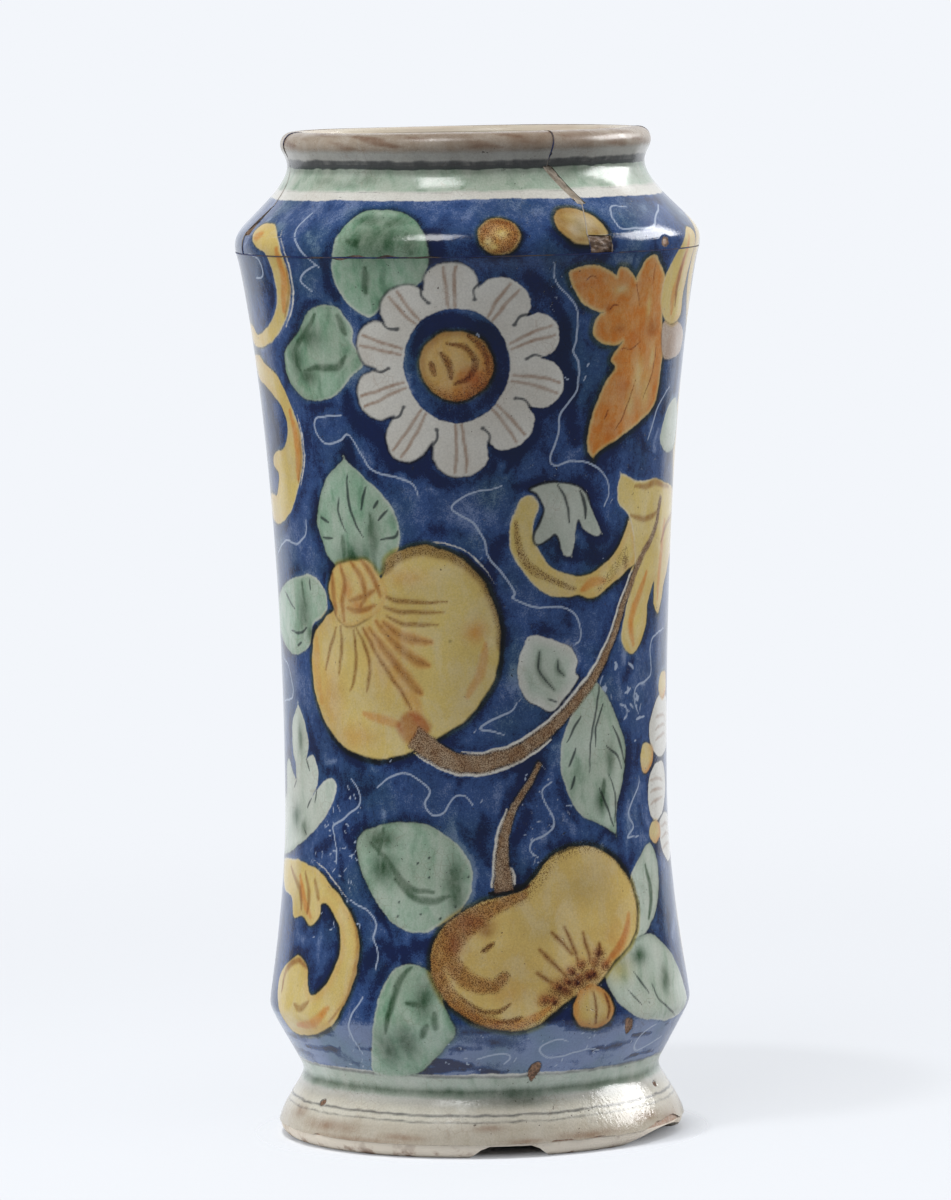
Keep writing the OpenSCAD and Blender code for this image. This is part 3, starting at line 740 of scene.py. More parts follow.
def palmate_leaf(canvas):
    patch = Patch(canvas, PALMATE_LEAF).reserve()
    patch.wash("yellow", 0.9, 1.5).wash("orange", 0.95, -0.5, soft=0.8)
    patch.halo(0.8, 2.4, DOWN_RIGHT).halo(0.2, 1.4, UP_LEFT).contour(1.0, 0.5, DOWN_RIGHT)
    canvas.lift("orange", [(54, 221, 2.4, 6), (58, 216, 2.6, 6), (51, 213, 2, 4), (64, 247, 3, 5),
                           (56, 241, 1.2, 4), (44, 246, 3, 1.5), (60, 226, 1.5, 4)], 0.7)
    canvas.dabs("red", [(33, 249, 4, 3), (44, 206, 4, 4), (52, 232, 5, 3), (48, 218, 3, 4)], 0.22)
    canvas.dabs("brown", [(40, 241, 1.6, 1.4), (45, 235, 2.6, 1.4), (59, 234, 3, 3)], 0.55)
    canvas.line("rust", PALMATE_MARKS, 0.7, 0.6, 0.4)
    spur = Patch(canvas, PALE_SPUR).reserve()
    spur.wash("taupe", 0.5, 0.6).wash("orange", 0.3, 0.2).wash("stipple", 0.12).contour(0.7, 0.5, (-1, 0))


SCROLLS = {
    "top": [(-69.5, 261), (-71.5, 264), (-70, 267), (-64.5, 267.5), (-59, 264.5), (-55, 259.5), (-53.2, 252),
            (-54, 244.5), (-59, 237), (-67, 232), (-79, 229.5), (-90, 232), (-92, 236), (-84, 236),
            (-77.5, 233.5), (-69, 236), (-62.5, 240.5), (-59.8, 246), (-60.5, 252.5), (-62, 258),
            (-65, 259)],
    "middle": [(-92, 226), (-82, 227.5), (-76.5, 226), (-66, 221.5), (-60, 213.5), (-56.7, 206.5),
               (-56.5, 198), (-59.5, 191.5), (-65, 184), (-74, 179.5), (-84, 179), (-92, 183), (-86, 187),
               (-77, 187.5), (-73, 193.5), (-77.5, 196), (-75, 199.5), (-67.5, 201), (-63.5, 206),
               (-65, 212), (-72, 217), (-86, 221)],
    "low": [(-92, 79), (-82.5, 82), (-63.5, 82), (-53.5, 79), (-43, 71), (-39, 65.5), (-37.5, 60),
            (-38.5, 51.5), (-41.5, 44), (-46.5, 37), (-58, 32.5), (-70, 32), (-75, 38), (-78.5, 44),
            (-77, 49.5), (-68, 54.5), (-64.5, 55.5), (-59, 52.5), (-58, 47.5), (-55.5, 45), (-50, 48.5),
            (-46.5, 53.5), (-45, 59.5), (-46, 66), (-51, 71), (-54.5, 71), (-55, 67.5), (-60, 64.5),
            (-65, 67), (-71, 66), (-74.5, 71.5), (-84, 73)],
    "edge": [(73, 261.5), (67, 256), (63.6, 251), (61.8, 246), (62.4, 240.5), (66, 236.3), (72, 235),
             (77, 237.5), (77, 244), (79, 252), (81, 258), (80, 262), (76.5, 263)],
    "hook": [(17, 189), (14, 186.5), (11.5, 181), (11, 176), (12.5, 171), (16.5, 165.5), (21, 161),
             (26, 159.5), (33, 159.5), (38.5, 158.5), (45.5, 161.5), (52.5, 165.5), (58, 169), (53.5, 180),
             (51, 176), (46.5, 170.5), (40, 166.5), (34.5, 165), (29, 166), (24, 168), (20.5, 172),
             (18.5, 177), (18.5, 181), (20, 186)],
    "acanthus": [(48.6, 193.5), (48.6, 193.5), (56.5, 191), (68.5, 190.5), (79.5, 188.5), (90, 186),
                 (96, 180), (94, 170), (86, 166), (79, 160), (75.5, 154.5), (72.5, 151.5), (69, 155),
                 (69, 161), (67, 159), (64.5, 155), (64, 149.5), (60, 143.5), (55.5, 141.5), (51, 145),
                 (51, 149.5), (54, 158.5), (57, 168.5), (53.5, 180), (48.5, 184.5), (47.5, 189)],
}
SCROLL_ORANGE = (
    [(-69, 262.5), (-66, 263.5)], [(-56.5, 259), (-55.5, 250), (-58, 241)],
    [(-61, 212), (-58.6, 203), (-60, 193)], [(63.5, 164), (58.5, 157), (55, 150.5), (56.5, 144)],
    [(77, 178), (74, 167), (72, 156)], [(34.5, 161), (38.5, 163), (43, 163)],
    [(-68, 78), (-64, 71), (-60, 67)], [(75, 260), (72, 251), (69, 243), (69, 238)],
    [(-48, 42), (-54, 37), (-64, 35)])
SCROLL_BROWN = (
    [(-59, 52.5), (-65.5, 54), (-73, 50), (-74.5, 44)], [(-64.5, 41.5), (-61, 40.5), (-57, 43)],
    [(-76.5, 80), (-68, 74.5), (-66, 69)], [(-64.5, 79.5), (-61.5, 73), (-62, 68)],
    [(-58.5, 77.5), (-56, 72.5)], [(55.5, 189.5), (61.5, 189), (68.5, 189.5), (80, 187.5)],
    [(54, 181), (62, 179.5), (69.5, 181)], [(73, 255), (71, 248), (71, 240)],
    [(92, 180), (80, 177), (74, 172)])
SCROLL_EDGES = (
    [(-41.5, 70), (-38.5, 63), (-38.5, 54.5), (-41.5, 44.5), (-47.5, 38)],
    [(-53.8, 256), (-53.8, 247), (-58, 239)], [(-57.5, 209), (-57, 199), (-60, 192)])
SCROLL_LIGHTS = (
    [(-57, 265), (-52.9, 258), (-52.2, 250), (-53.3, 243), (-58, 236.3)],
    [(-57.2, 211.5), (-55.7, 205), (-55.6, 198), (-58.8, 191)], [(-60, 83.6), (-52, 80.4), (-43, 73.2)])
HOOK_BAND = [(13, 181), (13.5, 176), (15.5, 170.5), (19, 167), (25, 164), (32, 161.5)]
TOP_FRUIT = [
    (24, 266), (26, 271.3), (31, 272.6), (36.5, 269.5), (38.6, 264.5), (38, 260.8), (33.5, 259.6),
    (28, 260.2)]


def scrolls(canvas):
    for name, points in SCROLLS.items():
        scroll(canvas, points, (-1, 0.2) if name in ("top", "middle") else (1, -0.4))
    canvas.spare(SCROLL_LIGHTS, 0.3)
    canvas.stroke("orange", SCROLL_ORANGE, 2.3, 0.72)
    canvas.stroke("brown", SCROLL_BROWN, 1.5, 0.9)
    canvas.stroke("brown", SCROLL_EDGES, 1.0, 0.7)
    canvas.stroke("brown", [HOOK_BAND], 1.9, 0.48)
    canvas.stroke("stipple", [HOOK_BAND], 1.8, 0.4)
    canvas.stroke("stipple", [[(41, 161), (47, 166), (52, 172)]], 2.6, 0.22)
    canvas.dabs("stipple", [(52, 168.5, 1.3, 2.4)], 1.0)
    top = fruit(canvas, TOP_FRUIT)
    top.wash("taupe", 0.5).edge("brown", 0.5, 1.5, (-1, 0.2), 1.0)
    canvas.lift("yellow", [(33, 267, 3.6, 4), (29, 264, 2, 2.4)], 0.45)
    canvas.dabs("brown", [(26.5, 267.5, 2.4, 2.8), (35.5, 263, 2.4, 2.6), (30, 261, 3, 1)], 0.6)
    canvas.dabs("grey", [(31, 265, 2.2, 4)], 0.6)


QUINCE = [
    (-46.5, 156), (-51.5, 152.6), (-56.5, 148), (-58.6, 140), (-57, 131), (-52, 122.5), (-43, 116.3),
    (-32, 114), (-22, 115.5), (-9, 121.5), (0, 127.8), (5.7, 136), (8.1, 146), (7, 156), (2.8, 165.3),
    (-4, 171.5), (-12.5, 174.8), (-20.5, 173.8), (-26, 171), (-29, 165)]
QUINCE_BUD = [
    (-38.5, 170.5), (-33, 170.5), (-30, 167.5), (-27.5, 163.5), (-27.5, 159.5), (-30.5, 155.5), (-39, 151.5),
    (-44.5, 153), (-47, 157), (-48.5, 161.5), (-47, 165.5), (-44, 169)]
QUINCE_BAND = [
    (-27, 168), (-23, 171.2), (-17.5, 173.4), (-13, 173.6), (-7, 172.2), (-0.5, 168.6), (4.4, 163.2),
    (7, 157), (8.2, 151), (8.4, 146)]
QUINCE_EDGES = (
    [(9, 147), (8, 139), (5, 132.5), (-0.5, 127), (-7.5, 122)],
    [(-57.5, 130), (-53, 122.5), (-46.5, 117.2), (-39, 114), (-28.5, 113), (-21.5, 115)])
QUINCE_HATCH = (
    [(-27.5, 160.5), (-22, 159), (-8, 159)], [(-27.5, 157.5), (-21.5, 156), (-9, 156)],
    [(-27, 155), (-21, 152.5), (-11, 152.5)], [(-35.5, 151), (-30.5, 143.5), (-24.5, 135.5), (-19.5, 128.5)],
    [(-38, 151), (-34, 144), (-33.5, 138.5), (-35, 133)],
    [(-39, 150.5), (-38.5, 143), (-39, 137.5), (-41, 133)], [(-44, 151.5), (-44, 145.5), (-45.5, 137.5)],
    [(-46, 151), (-48.5, 145.5), (-51.5, 138.5)])
QUINCE_BROAD = (
    [(-28, 153), (-22, 149), (-13, 147.5)], [(-30.5, 153), (-24, 146.5), (-18, 142.5), (-14, 141)],
    [(-33, 151), (-26.5, 143.5), (-19.5, 135.5), (-16.5, 133)])
BUD_LINES = (
    [(-43, 169), (-41.5, 164), (-43, 158), (-42.5, 153)],
    [(-39, 170), (-35.5, 166), (-34, 160.5), (-36, 157)], [(-35, 170.5), (-31.5, 166.5), (-29, 160.5)],
    [(-41, 156.5), (-36.5, 156), (-31, 157.5)], [(-40, 158.8), (-35, 160), (-31, 162)],
    [(-46.5, 166), (-46.5, 160), (-46, 155)])
LOW_QUINCE = [
    (-14, 60), (-11.5, 65.5), (-5.5, 70.5), (3, 74.2), (12, 76), (18, 80.5), (23.5, 86), (31, 88.2),
    (40, 86.8), (48, 82.2), (53.7, 75), (55.2, 67), (51.5, 59.8), (43.5, 54.8), (36, 48.8), (27, 45.5),
    (21, 41.5), (14, 37.5), (6, 37.2), (-3, 40.5), (-10, 46), (-13.6, 53)]
LOW_SHADE = (
    [(14, 75.5), (6, 72.5), (-2, 69.5), (-9, 64.5), (-12, 58), (-11.5, 52), (-8, 46.5), (-2, 41.5),
     (4.5, 39.2)],
    [(4, 71), (-1, 67.5), (-6.5, 63), (-8.5, 58.5), (-6.5, 54.5), (-2, 51), (4, 50), (7, 52.5)])
LOW_ARCS = (
    [(-7, 48.5), (-0.5, 43.2), (4.5, 42.5), (8.5, 44.5)], [(4.5, 39.8), (8.5, 39.8), (11.5, 41)],
    [(4.5, 62), (1, 60)])
LOW_HATCH = (
    [(22, 64.5), (28, 58)], [(26.5, 65.5), (30, 56)], [(32.5, 63.5), (34, 56)], [(18, 59.5), (25.5, 52)],
    [(17, 53), (21, 50)], [(38, 60), (37, 56)])
LOW_ORANGE = ([(51, 67), (49, 62), (45, 58), (40, 54.5)], [(-9, 45), (1, 39.6), (11, 39), (20, 43)])
CALYX = (
    (27.5, 53), (31, 54.5), (33, 51.5), (25, 48), (23, 49), (18.5, 45.5), (21, 45), (37, 57.5), (34.5, 52),
    (39, 54), (28.5, 50), (30, 51), (26, 50.5), (35.5, 55))
LOW_TOP = [
    (14, 77.5), (20, 83.8), (26.5, 87.2), (35.5, 88.4), (45.5, 85), (52.5, 78), (55.8, 70), (53.5, 61.5)]
LOW_BUD = [(34, 48.5), (38.5, 46.5), (40.7, 41.8), (39, 38), (35, 36), (29, 37.5), (27, 42.5), (29.5, 47)]
LOW_BUD_LINES = ([(34, 46.5), (34.5, 42.5), (34, 37.5)], [(38, 46), (39, 42), (38, 38.5)])


def quince(canvas):
    fruit(canvas, QUINCE)
    canvas.stroke("orange", [[(-55.5, 147), (-56.3, 138), (-54, 129)]], 3.4, 0.4)
    canvas.stroke("orange", [[(3.5, 147), (2, 139), (-2, 132)], [(-36, 126.5), (-28, 125), (-24, 124)]],
                  2.2, 0.55)
    canvas.dabs("orange", [(0.5, 150.5, 3.6, 3.2)], 0.6)
    canvas.dabs("orange", [(-27, 145, 8, 12), (-20, 166, 7, 3), (-50, 130, 6, 12), (-40, 120, 9, 4)], 0.35)
    canvas.stroke("brown", [QUINCE_BAND], 2.9, 0.5, 0.75)
    canvas.stroke("stipple", [QUINCE_BAND], 2.6, 0.2, 0.75)
    canvas.stroke("grey", [QUINCE_BAND], 2.6, 0.5, 0.75)
    canvas.stroke("line", QUINCE_EDGES, 1.3, 0.55)
    canvas.spare([[(-12, 176.2), (-5, 174.7), (1.7, 170.5), (6.3, 164)]], 0.3)
    canvas.stroke("brown", QUINCE_HATCH, 1.1, 0.75, 0.4)
    canvas.stroke("brown", QUINCE_BROAD, 2.0, 0.55, 0.2)
    canvas.stroke("orange", QUINCE_BROAD, 3.2, 0.5, 0.3)
    canvas.stroke("orange", [[(-34, 150), (-27, 142), (-20, 132), (-17, 125)]], 4.2, 0.42, 0.5)
    canvas.stroke("stipple", (*QUINCE_HATCH, *QUINCE_BROAD), 0.9, 0.16)
    bud = Patch(canvas, QUINCE_BUD).reserve()
    bud.wash("yellow", 1.0, 0.9).edge("orange", 0.3, 1.4).contour(1.0, 0.5, (-1, -0.4))
    canvas.stroke("brown", BUD_LINES, 1.2, 0.75, 0.4)
    canvas.stroke("orange", BUD_LINES, 2.2, 0.45, 0.4)
    canvas.dabs("orange", [(-37, 157.5, 4, 2.6), (-41, 162, 2.5, 4)], 0.7)
    blossom = [(-24.5, 123.5), (-20, 127.5), (-14, 124), (-16.5, 120), (-21, 119)]
    Patch(canvas, blossom).wash("red", 0.72, 0.3, soft=0.8)
    canvas.dabs("line", [(-7, 147.5, 0.9, 0.8)], 0.5)


def low_quince(canvas):
    low = fruit(canvas, LOW_QUINCE).wash("orange", 0.14)
    low.edge("stipple", 0.6, 2.6, (-1, 0.1), 0.6)
    canvas.stroke("orange", LOW_SHADE, 4.4, 0.5)
    canvas.stroke("brown", LOW_SHADE, 3.4, 0.5, 0.6)
    canvas.stroke("stipple", LOW_SHADE, 3.8, 0.44, 0.6)
    canvas.dabs("orange", [(8, 48, 9, 6), (44, 62, 6, 8)], 0.3)
    canvas.dabs("grey", [(34, 76, 10, 6), (20, 66, 8, 6)], 0.35)
    canvas.stroke("brown", LOW_ARCS, 1.1, 0.8)
    canvas.stroke("stipple", LOW_ARCS, 1.2, 0.6)
    canvas.dabs("brown", [(2.5, 65.5, 2.6, 2), (2, 67, 3, 1.6)], 0.8)
    canvas.dabs("red", [(-3, 68, 6, 3.4), (-7, 62, 3, 4)], 0.6)
    canvas.stroke("brown", LOW_HATCH, 1.35, 0.85, 0.5)
    canvas.line("rust", LOW_HATCH, 0.9, 0.55)
    canvas.stroke("orange", LOW_ORANGE, 2.6, 0.7)
    canvas.stroke("red", [[(50.5, 65), (47, 60), (41, 55.5)]], 1.6, 0.35)
    canvas.stroke("line", [LOW_TOP], 1.3, 0.5)
    canvas.stroke("stipple", [LOW_TOP], 2.2, 0.45)
    bud = Patch(canvas, LOW_BUD).reserve()
    bud.wash("yellow", 1.0, 0.9).wash("brown", 0.25).edge("orange", 0.7, 2.0)
    bud.contour(0.8, 0.7, (0.6, -1)).halo(0.8, 2, (0, -1))
    canvas.stroke("brown", LOW_BUD_LINES, 1.2, 0.9)
    canvas.line("rust", LOW_BUD_LINES, 0.8, 0.6)
    canvas.dabs("red", [(x, y, 2.3, 1.8) for x, y in CALYX], 0.8)
    for layer in ("brown", "stipple"):
        canvas.dabs(layer, [(24.5, 47.3, 4, 2), (28.5, 49.6, 5, 2.3), (33.5, 51, 4, 2)], 0.85)
    canvas.dabs("stipple", [(x + 0.5, y - 0.4, 1.9, 1.5) for x, y in CALYX], 1.0)
    canvas.dabs("rust", [(x + 0.6, y - 0.6, 0.9, 0.8) for x, y in CALYX[::2]], 0.8)


STEM = [
    (-19, 120.5), (-13, 116.6), (-6, 113.4), (1.5, 112.9), (6, 114), (13.5, 115.8), (21.5, 120.5),
    (27, 124.4), (32.5, 129.4), (38.5, 135), (43, 140.5), (47.5, 148), (51.5, 156), (56, 164), (61, 169.5),
    (68.5, 176.5), (72, 185)]
LOW_STEM = [(8, 76.5), (7.6, 82), (7.7, 87.5), (9, 94.5), (12, 101), (16.5, 107), (20, 112.5)]


def branches(canvas):
    stem(canvas, STEM, 6.2, 1.3, ((-1, 0.14, 0.88), (1, 0.03, 0.4)))
    stem(canvas, LOW_STEM, 5.6, 1.2, ((-1, 0.06, 0.75), (1, 0.06, 0.24)))
    for layer, strength in (("brown", 0.9), ("stipple", 1.0)):
        canvas.stroke(layer, [[(4, 76), (8, 76.6), (15, 78)]], 1.7, strength)
    canvas.line("rust", [[(3.5, 76.4), (8, 76), (16, 77.8)]], 1.0, 0.9)


SQUIGGLES = (
    [(-49, 272), (-51, 267), (-50, 263), (-46, 258), (-41, 254)],
    [(-42, 254.5), (-47, 252), (-48.5, 249.5), (-45, 247)],
    [(22.5, 255), (23, 250), (27, 245), (30, 241), (30.5, 233), (29.5, 229), (31.5, 225), (31, 218),
     (26, 211), (26, 207), (23.5, 197.5), (31, 198), (38, 196), (43, 192), (44, 188), (42, 184.5)],
    [(9, 191.5), (0, 189.5), (-5, 187), (-5.5, 185), (0, 181.5), (4, 176), (4.5, 172), (8, 167.5),
     (12.5, 161.5), (12, 159.5), (19, 157), (29, 156), (33.5, 152), (34, 147), (32, 145.5)],
    [(-33, 201), (-29, 196), (-18, 193), (-15.5, 189)],
    [(-39, 211.5), (-48, 211), (-49.5, 207.5), (-46, 203.5), (-40, 204.5), (-36.5, 206), (-33, 201)],
    [(74, 217), (66, 211.5), (63, 206), (61, 202)],
    [(70, 272), (62, 268), (56, 264), (47, 264), (43, 265), (45, 272), (52, 272)],
    [(-57.5, 181), (-58, 177), (-60, 175.5), (-64, 174), (-70, 174.5), (-76, 173), (-82, 170)],
    [(-83, 140), (-77, 138), (-74, 134), (-73, 131), (-75, 128.5), (-86, 127)],
    [(13, 130), (11, 127.5), (5, 125), (1.5, 123), (5, 122), (9, 121)],
    [(80, 147), (74, 146), (69, 145), (67, 142), (68, 136), (66.5, 133.5), (58.5, 131.8), (58, 127),
     (60, 124)],
    [(-42, 108), (-39.5, 105), (-38.5, 102), (-40, 99.5), (-45, 96.5), (-50, 94), (-49.5, 91), (-48.5, 87),
     (-48, 83)],
    [(-32, 106), (-27, 109), (-21, 110), (-16, 107), (-14.5, 105), (-16, 102), (-15, 99.5), (-13, 98.3),
     (-10, 99), (-7, 103.5), (-4, 104), (-1.2, 101)],
    [(24, 107), (21, 105), (21, 102), (24, 97), (24, 94), (20, 91.5), (17, 90), (16.5, 87.5), (19, 85.5)],
    [(-42, 73), (-36, 71), (-32, 67.5), (-32.5, 63), (-31, 59), (-31.5, 54)],
    [(60, 106), (59.5, 103), (54.5, 97), (54.5, 94.5), (56.5, 91.5), (53, 89), (59, 88.8)],
    [(-35, 46), (-38, 42), (-40, 37), (-39.5, 32), (-38, 27.5)],
    [(-1.5, 27.5), (3, 29), (8, 29), (9, 27.5), (7, 25.5)],
    [(26, 32.5), (23, 33.5), (19, 32), (17.5, 30), (19, 28), (23, 27), (31, 28.5), (35, 29), (38, 28)],
    [(61, 34), (56, 32), (54, 29), (54.5, 26.5), (58, 25.7), (70, 28.5)],
    [(-73, 257), (-67, 256), (-66, 251), (-71, 250)])
FLECKED = (
    ((-62, 58, -38, 106), 80, 1, 1), ((12, 84, 30, 112), 24, 2, 1), ((-45, 23, 70, 36), 44, 3, 0.9),
    ((41, 122, 62, 141), 26, 4, 1.7), ((-30, 100, 60, 250), 40, 5, 1), ((90, 30, 280, 250), 90, 6, 1))


def flecks(canvas, area, count, seed, size):
    """Little nicks that go through the blue."""
    random = np.random.RandomState(seed)
    x0, y0, x1, y1 = area
    for _ in range(count):
        x, y = random.uniform(x0, x1), random.uniform(y0, y1)
        way, reach = random.uniform(0, 2 * math.pi), size * random.uniform(0.6, 2.0)
        bend = random.normal(0, 0.4, 2)
        line = [(x, y), (x + reach * math.cos(way) / 2 + bend[0], y + reach * math.sin(way) / 2 + bend[1]),
                (x + reach * math.cos(way), y + reach * math.sin(way))]
        canvas.line("scratch", [line], size * random.uniform(0.3, 0.5), random.uniform(0.6, 1.0))


def scratches(canvas):
    canvas.line("scratch", SQUIGGLES, 0.55, 0.95, 0.7)
    for points in SQUIGGLES:
        canvas.smear(points, 3.0, -0.12)
    for area, count, seed, size in FLECKED:
        flecks(canvas, area, count, seed, size)
    canvas.layers["scratch"] *= smooth_step(canvas.layers["ground"] + 0.5)


def far_side(canvas):
    """The side that the photograph doesn't show, in the same hand."""
    for name, around, mirror in (("top", 172, True), ("middle", 176, True), ("low", 182, True),
                                 ("hook", 190, False), ("acanthus", 190, False)):
        scroll(canvas, moved(SCROLLS[name], around, 0, mirror), (-1, -0.4))
    orange = Patch(canvas, moved(PALMATE_LEAF, 190, 4, mirror=True)).reserve()
    orange.wash("yellow", 0.9, 1.5).wash("orange", 0.95, -0.5, soft=0.8).contour(1.0, 0.5).halo(0.8, 2.4)
    for name, around, up in (("big", 178, -4), ("small", 222, 22), ("left", 203, 10), ("round", 208, 0),
                             ("veined", 172, -14), ("low", 222, 2), ("calyx", 84, 1), ("pointed", 124, 62),
                             ("veined", 149, -52), ("round", 132, 34), ("edge", 188, -68), ("big", 278, -6),
                             ("round", 268, -26), ("small", 312, -6)):
        points = moved(LEAVES[name]["points"], around, up, mirror=True)
        x, y = points.mean(axis=0)
        leaf(canvas, points, 0.75, deep=[(x - 3, y + 2, 3, 5), (x + 4, y - 3, 4, 4)],
             streaks=[[(x + 1, y + 6), (x, y), (x + 2, y - 6)]])
    daisy(canvas, (168, 218), 0.95)
    daisy(canvas, (242, 106), 0.8)
    for place in ((142, 262), (275, 263), (214, 252)):
        berry(canvas, place, (5, 5.6))
    canvas.stroke("orange", [moved(line, 190) for line in SCROLL_ORANGE[3:6]], 2.3, 0.72)
    canvas.stroke("brown", [moved(line, 190) for line in (*SCROLL_BROWN[5:7], HOOK_BAND)], 1.6, 0.7)
    fruit(canvas, moved(QUINCE, 196, -6, mirror=True)).edge("stipple", 0.7, 2.4, UP_LEFT, 1)
    fruit(canvas, moved(LOW_QUINCE, 128, -1, mirror=True)).edge("stipple", 0.8, 4.5, (1, 0.15), 1.5)
    stem(canvas, moved(STEM[:10], 150, -12, mirror=True), 6, 2.6)
    stem(canvas, moved(STEM[6:], 190), 3, 1.3, ((-1, 0.1, 0.8),))
    canvas.stroke("brown", [moved(line, 186, -6, mirror=True) for line in QUINCE_HATCH], 0.9, 0.8, 0.4)
    squiggles = [moved(points, 184, 3, mirror=True) for points in SQUIGGLES[4:16]]
    canvas.line("scratch", squiggles, 0.55, 0.95, 0.7)


DARK_STROKES = (
    [(-36.5, 218), (-36, 214), (-33.5, 209.5), (-29, 206)], [(-42.5, 217), (-49.5, 214)],
    [(-38, 204), (-36, 200)], [(-27, 206), (-20, 199), (-10, 193)], [(30, 222), (29, 212), (31, 203)],
    [(16, 251), (22, 246), (25, 240)], [(26, 236), (27, 226), (25, 216)], [(-44, 172), (-46, 166)],
    [(2, 98), (1, 90), (4, 84)], [(-6, 30.5), (-11, 25), (-17.5, 21.5)], [(-49, 28), (-43, 24)],
    [(40, 170), (30, 171)], [(56, 139), (52, 134)], [(-3, 178), (-12, 180)], [(-56, 33), (-50, 27)],
    [(4, 33), (12, 30)], [(36, 27), (46, 29)], [(-30, 62), (-34, 56)], [(12, 178), (7, 172), (6, 166)],
    [(-27, 60), (-22, 56), (-18, 52)], [(16, 98), (12.5, 91)], [(-58, 86), (-50, 90)],
    [(-10, 62), (-22, 60)])
PALE_STROKES = ([(-9, 30.5), (1, 29), (10, 29.5)], [(24, 30), (34, 32)], [(-48, 30), (-40, 33)])
BRUSH_SEED = 17
BRUSH_STROKES = 1900
FOOT_STROKES = 260


def brushwork(canvas):
    """The uneven brush strokes of the blue ground, and those along its lower edge."""
    for points in DARK_STROKES:
        canvas.smear(points, 4.0, 0.95)
    for points in PALE_STROKES:
        canvas.smear(points, 4.0, -1.0)
    random = np.random.RandomState(BRUSH_SEED)
    for _ in range(BRUSH_STROKES):
        x, y = random.uniform(-TURN / 2, TURN / 2), random.uniform(18, 280)
        way, reach, bend = random.normal(1.5, 0.7), random.uniform(2, 6), random.normal(0, 0.8)
        dx, dy = reach * math.cos(way), reach * math.sin(way)
        line = [(x - dx, y - dy), (x + bend, y + bend), (x + dx, y + dy)]
        canvas.smear(line, random.uniform(1.2, 3.6), random.normal(0, 0.34))
    for _ in range(FOOT_STROKES):
        x, y = random.uniform(-TURN / 2, TURN / 2), random.uniform(21, 38)
        reach, rise = random.uniform(3, 11), random.normal(0, 0.8)
        line = [(x - reach, y - rise), (x, y), (x + reach, y + rise)]
        canvas.smear(line, random.uniform(0.8, 2.6), random.normal(0.12, 1.25))


def settle(canvas):
    """The blue gathers round some of the motifs and stays thin along others."""
    gap = canvas.layers["ground"]
    gathers = np.clip(0.2 + 0.8 * waves(canvas.around, canvas.up, 6, 93), 0, 1)
    thins = np.clip(0.8 * waves(canvas.around, canvas.up, 7, 94), 0, 1)
    canvas.layers["ink"] += 0.7 * gathers * np.exp(-((gap - 1.9) / 1.9)**2)
    canvas.layers["ink"] -= 0.7 * thins * np.exp(-((gap - 0.4) / 0.9)**2)
    canvas.layers["ink"] += 0.25 * waves(canvas.around, canvas.up, 13, 95)
    canvas.layers["ink"] -= 1.15 * smooth_step((42 - canvas.up) / 11)
    canvas.layers["ink"] -= 0.25 * smooth_step((canvas.up - 262) / 8)


def neck_bands(canvas):
    canvas.band("line", 279.4, 279.8, 0.42, 0.4)
    canvas.band("green", 280.0, 287.4, 0.62, 0.8)
    canvas.dabs("deep_green", [(-52, 283, 6, 1.6), (-35, 283.5, 7, 2), (-42, 282, 9, 1.5),
                               (40, 285, 9, 1.6)], 0.38)
    canvas.dabs("grey", [(12, 286, 22, 1.4), (60, 284, 10, 1.5), (-10, 286, 9, 1), (31, 284.5, 7, 2.4)], 0.6)
    canvas.band("grey", 285.4, 292.6, 0.75, 1.2)
    canvas.band("line", 287.0, 289.6, 0.66, 0.9)
    canvas.band("line", 286.9, 288.1, 1.0, 0.5)
    canvas.band("taupe", 292.2, 330, 1.0, 1.2)
    streak = np.clip(waves(canvas.around / 9, canvas.up, 0.5, 97), 0, 1)
    streak = streak * smooth_step((canvas.up - 292) / 1.5)
    canvas.raise_to("brown", EVERYWHERE, 0.75 * streak)
    # Brown blots on the front of the rim: partly the rim's own brown, partly painted shade that darkens its
    # front and middle right.
    canvas.dabs("brown", [(28, 296, 34, 4.5), (-4, 297, 20, 3)], 0.4)
    canvas.band("dull", 292, 330, 0.55, 2)


def foot_bands(canvas):
    around, up = canvas.around, canvas.up
    canvas.band("line", 20.8, 22.3, 0.5, 0.9)
    canvas.band("green", 14.6, 21.6, 0.5, 1.2)
    canvas.band("deep_green", 15.4, 17.6, 0.66, 1.8)
    front = np.exp(-((around - 12) / 34)**4)
    run = smooth_step((17.2 - up) / 1.2) * smooth_step((up - 9.6) / 3.5)
    smear = front * run * np.clip(0.75 + 0.35 * waves(around, 0, 5, 21), 0, 1)
    canvas.raise_to("deep_green", EVERYWHERE, 0.8 * smear)
    canvas.raise_to("grey", EVERYWHERE, 0.75 * np.maximum(smear, 0.5 * run))
    canvas.band("line", 8.8, 9.8, 0.62, 0.8)
    canvas.band("line", 6.8, 7.7, 0.5, 0.8)
    canvas.band("taupe", -5, 6.4, 0.42, 3)
    canvas.band("yellow", -5, 13, 0.2, 3)
    worn = smooth_step((14 - up) / 4) * np.exp(-((around + 15) / 48)**4)
    canvas.raise_to("dull", EVERYWHERE, worn)
    canvas.dabs("brown", [(-52, 3.5, 12, 2), (-24, 2, 9, 1.2), (2, 5, 5, 1.2), (33, 1.5, 14, 1.4),
                          (-40, 0.5, 20, 1), (-70, 6, 5, 2.5), (58, 4, 8, 1.6), (14, 0.8, 8, 1),
                          (72, 2, 8, 2)], 0.7)


def bands(canvas):
    """The blue ground and the plain bands below and above it."""
    low, high = 21.9, 276.4
    shaky = canvas.up + 0.4 * waves(canvas.around, 0, 18, 11)
    canvas.layers["ground"][:] = np.clip(np.minimum(shaky - low, high - shaky), -FAR, FAR)
    foot_bands(canvas)
    neck_bands(canvas)


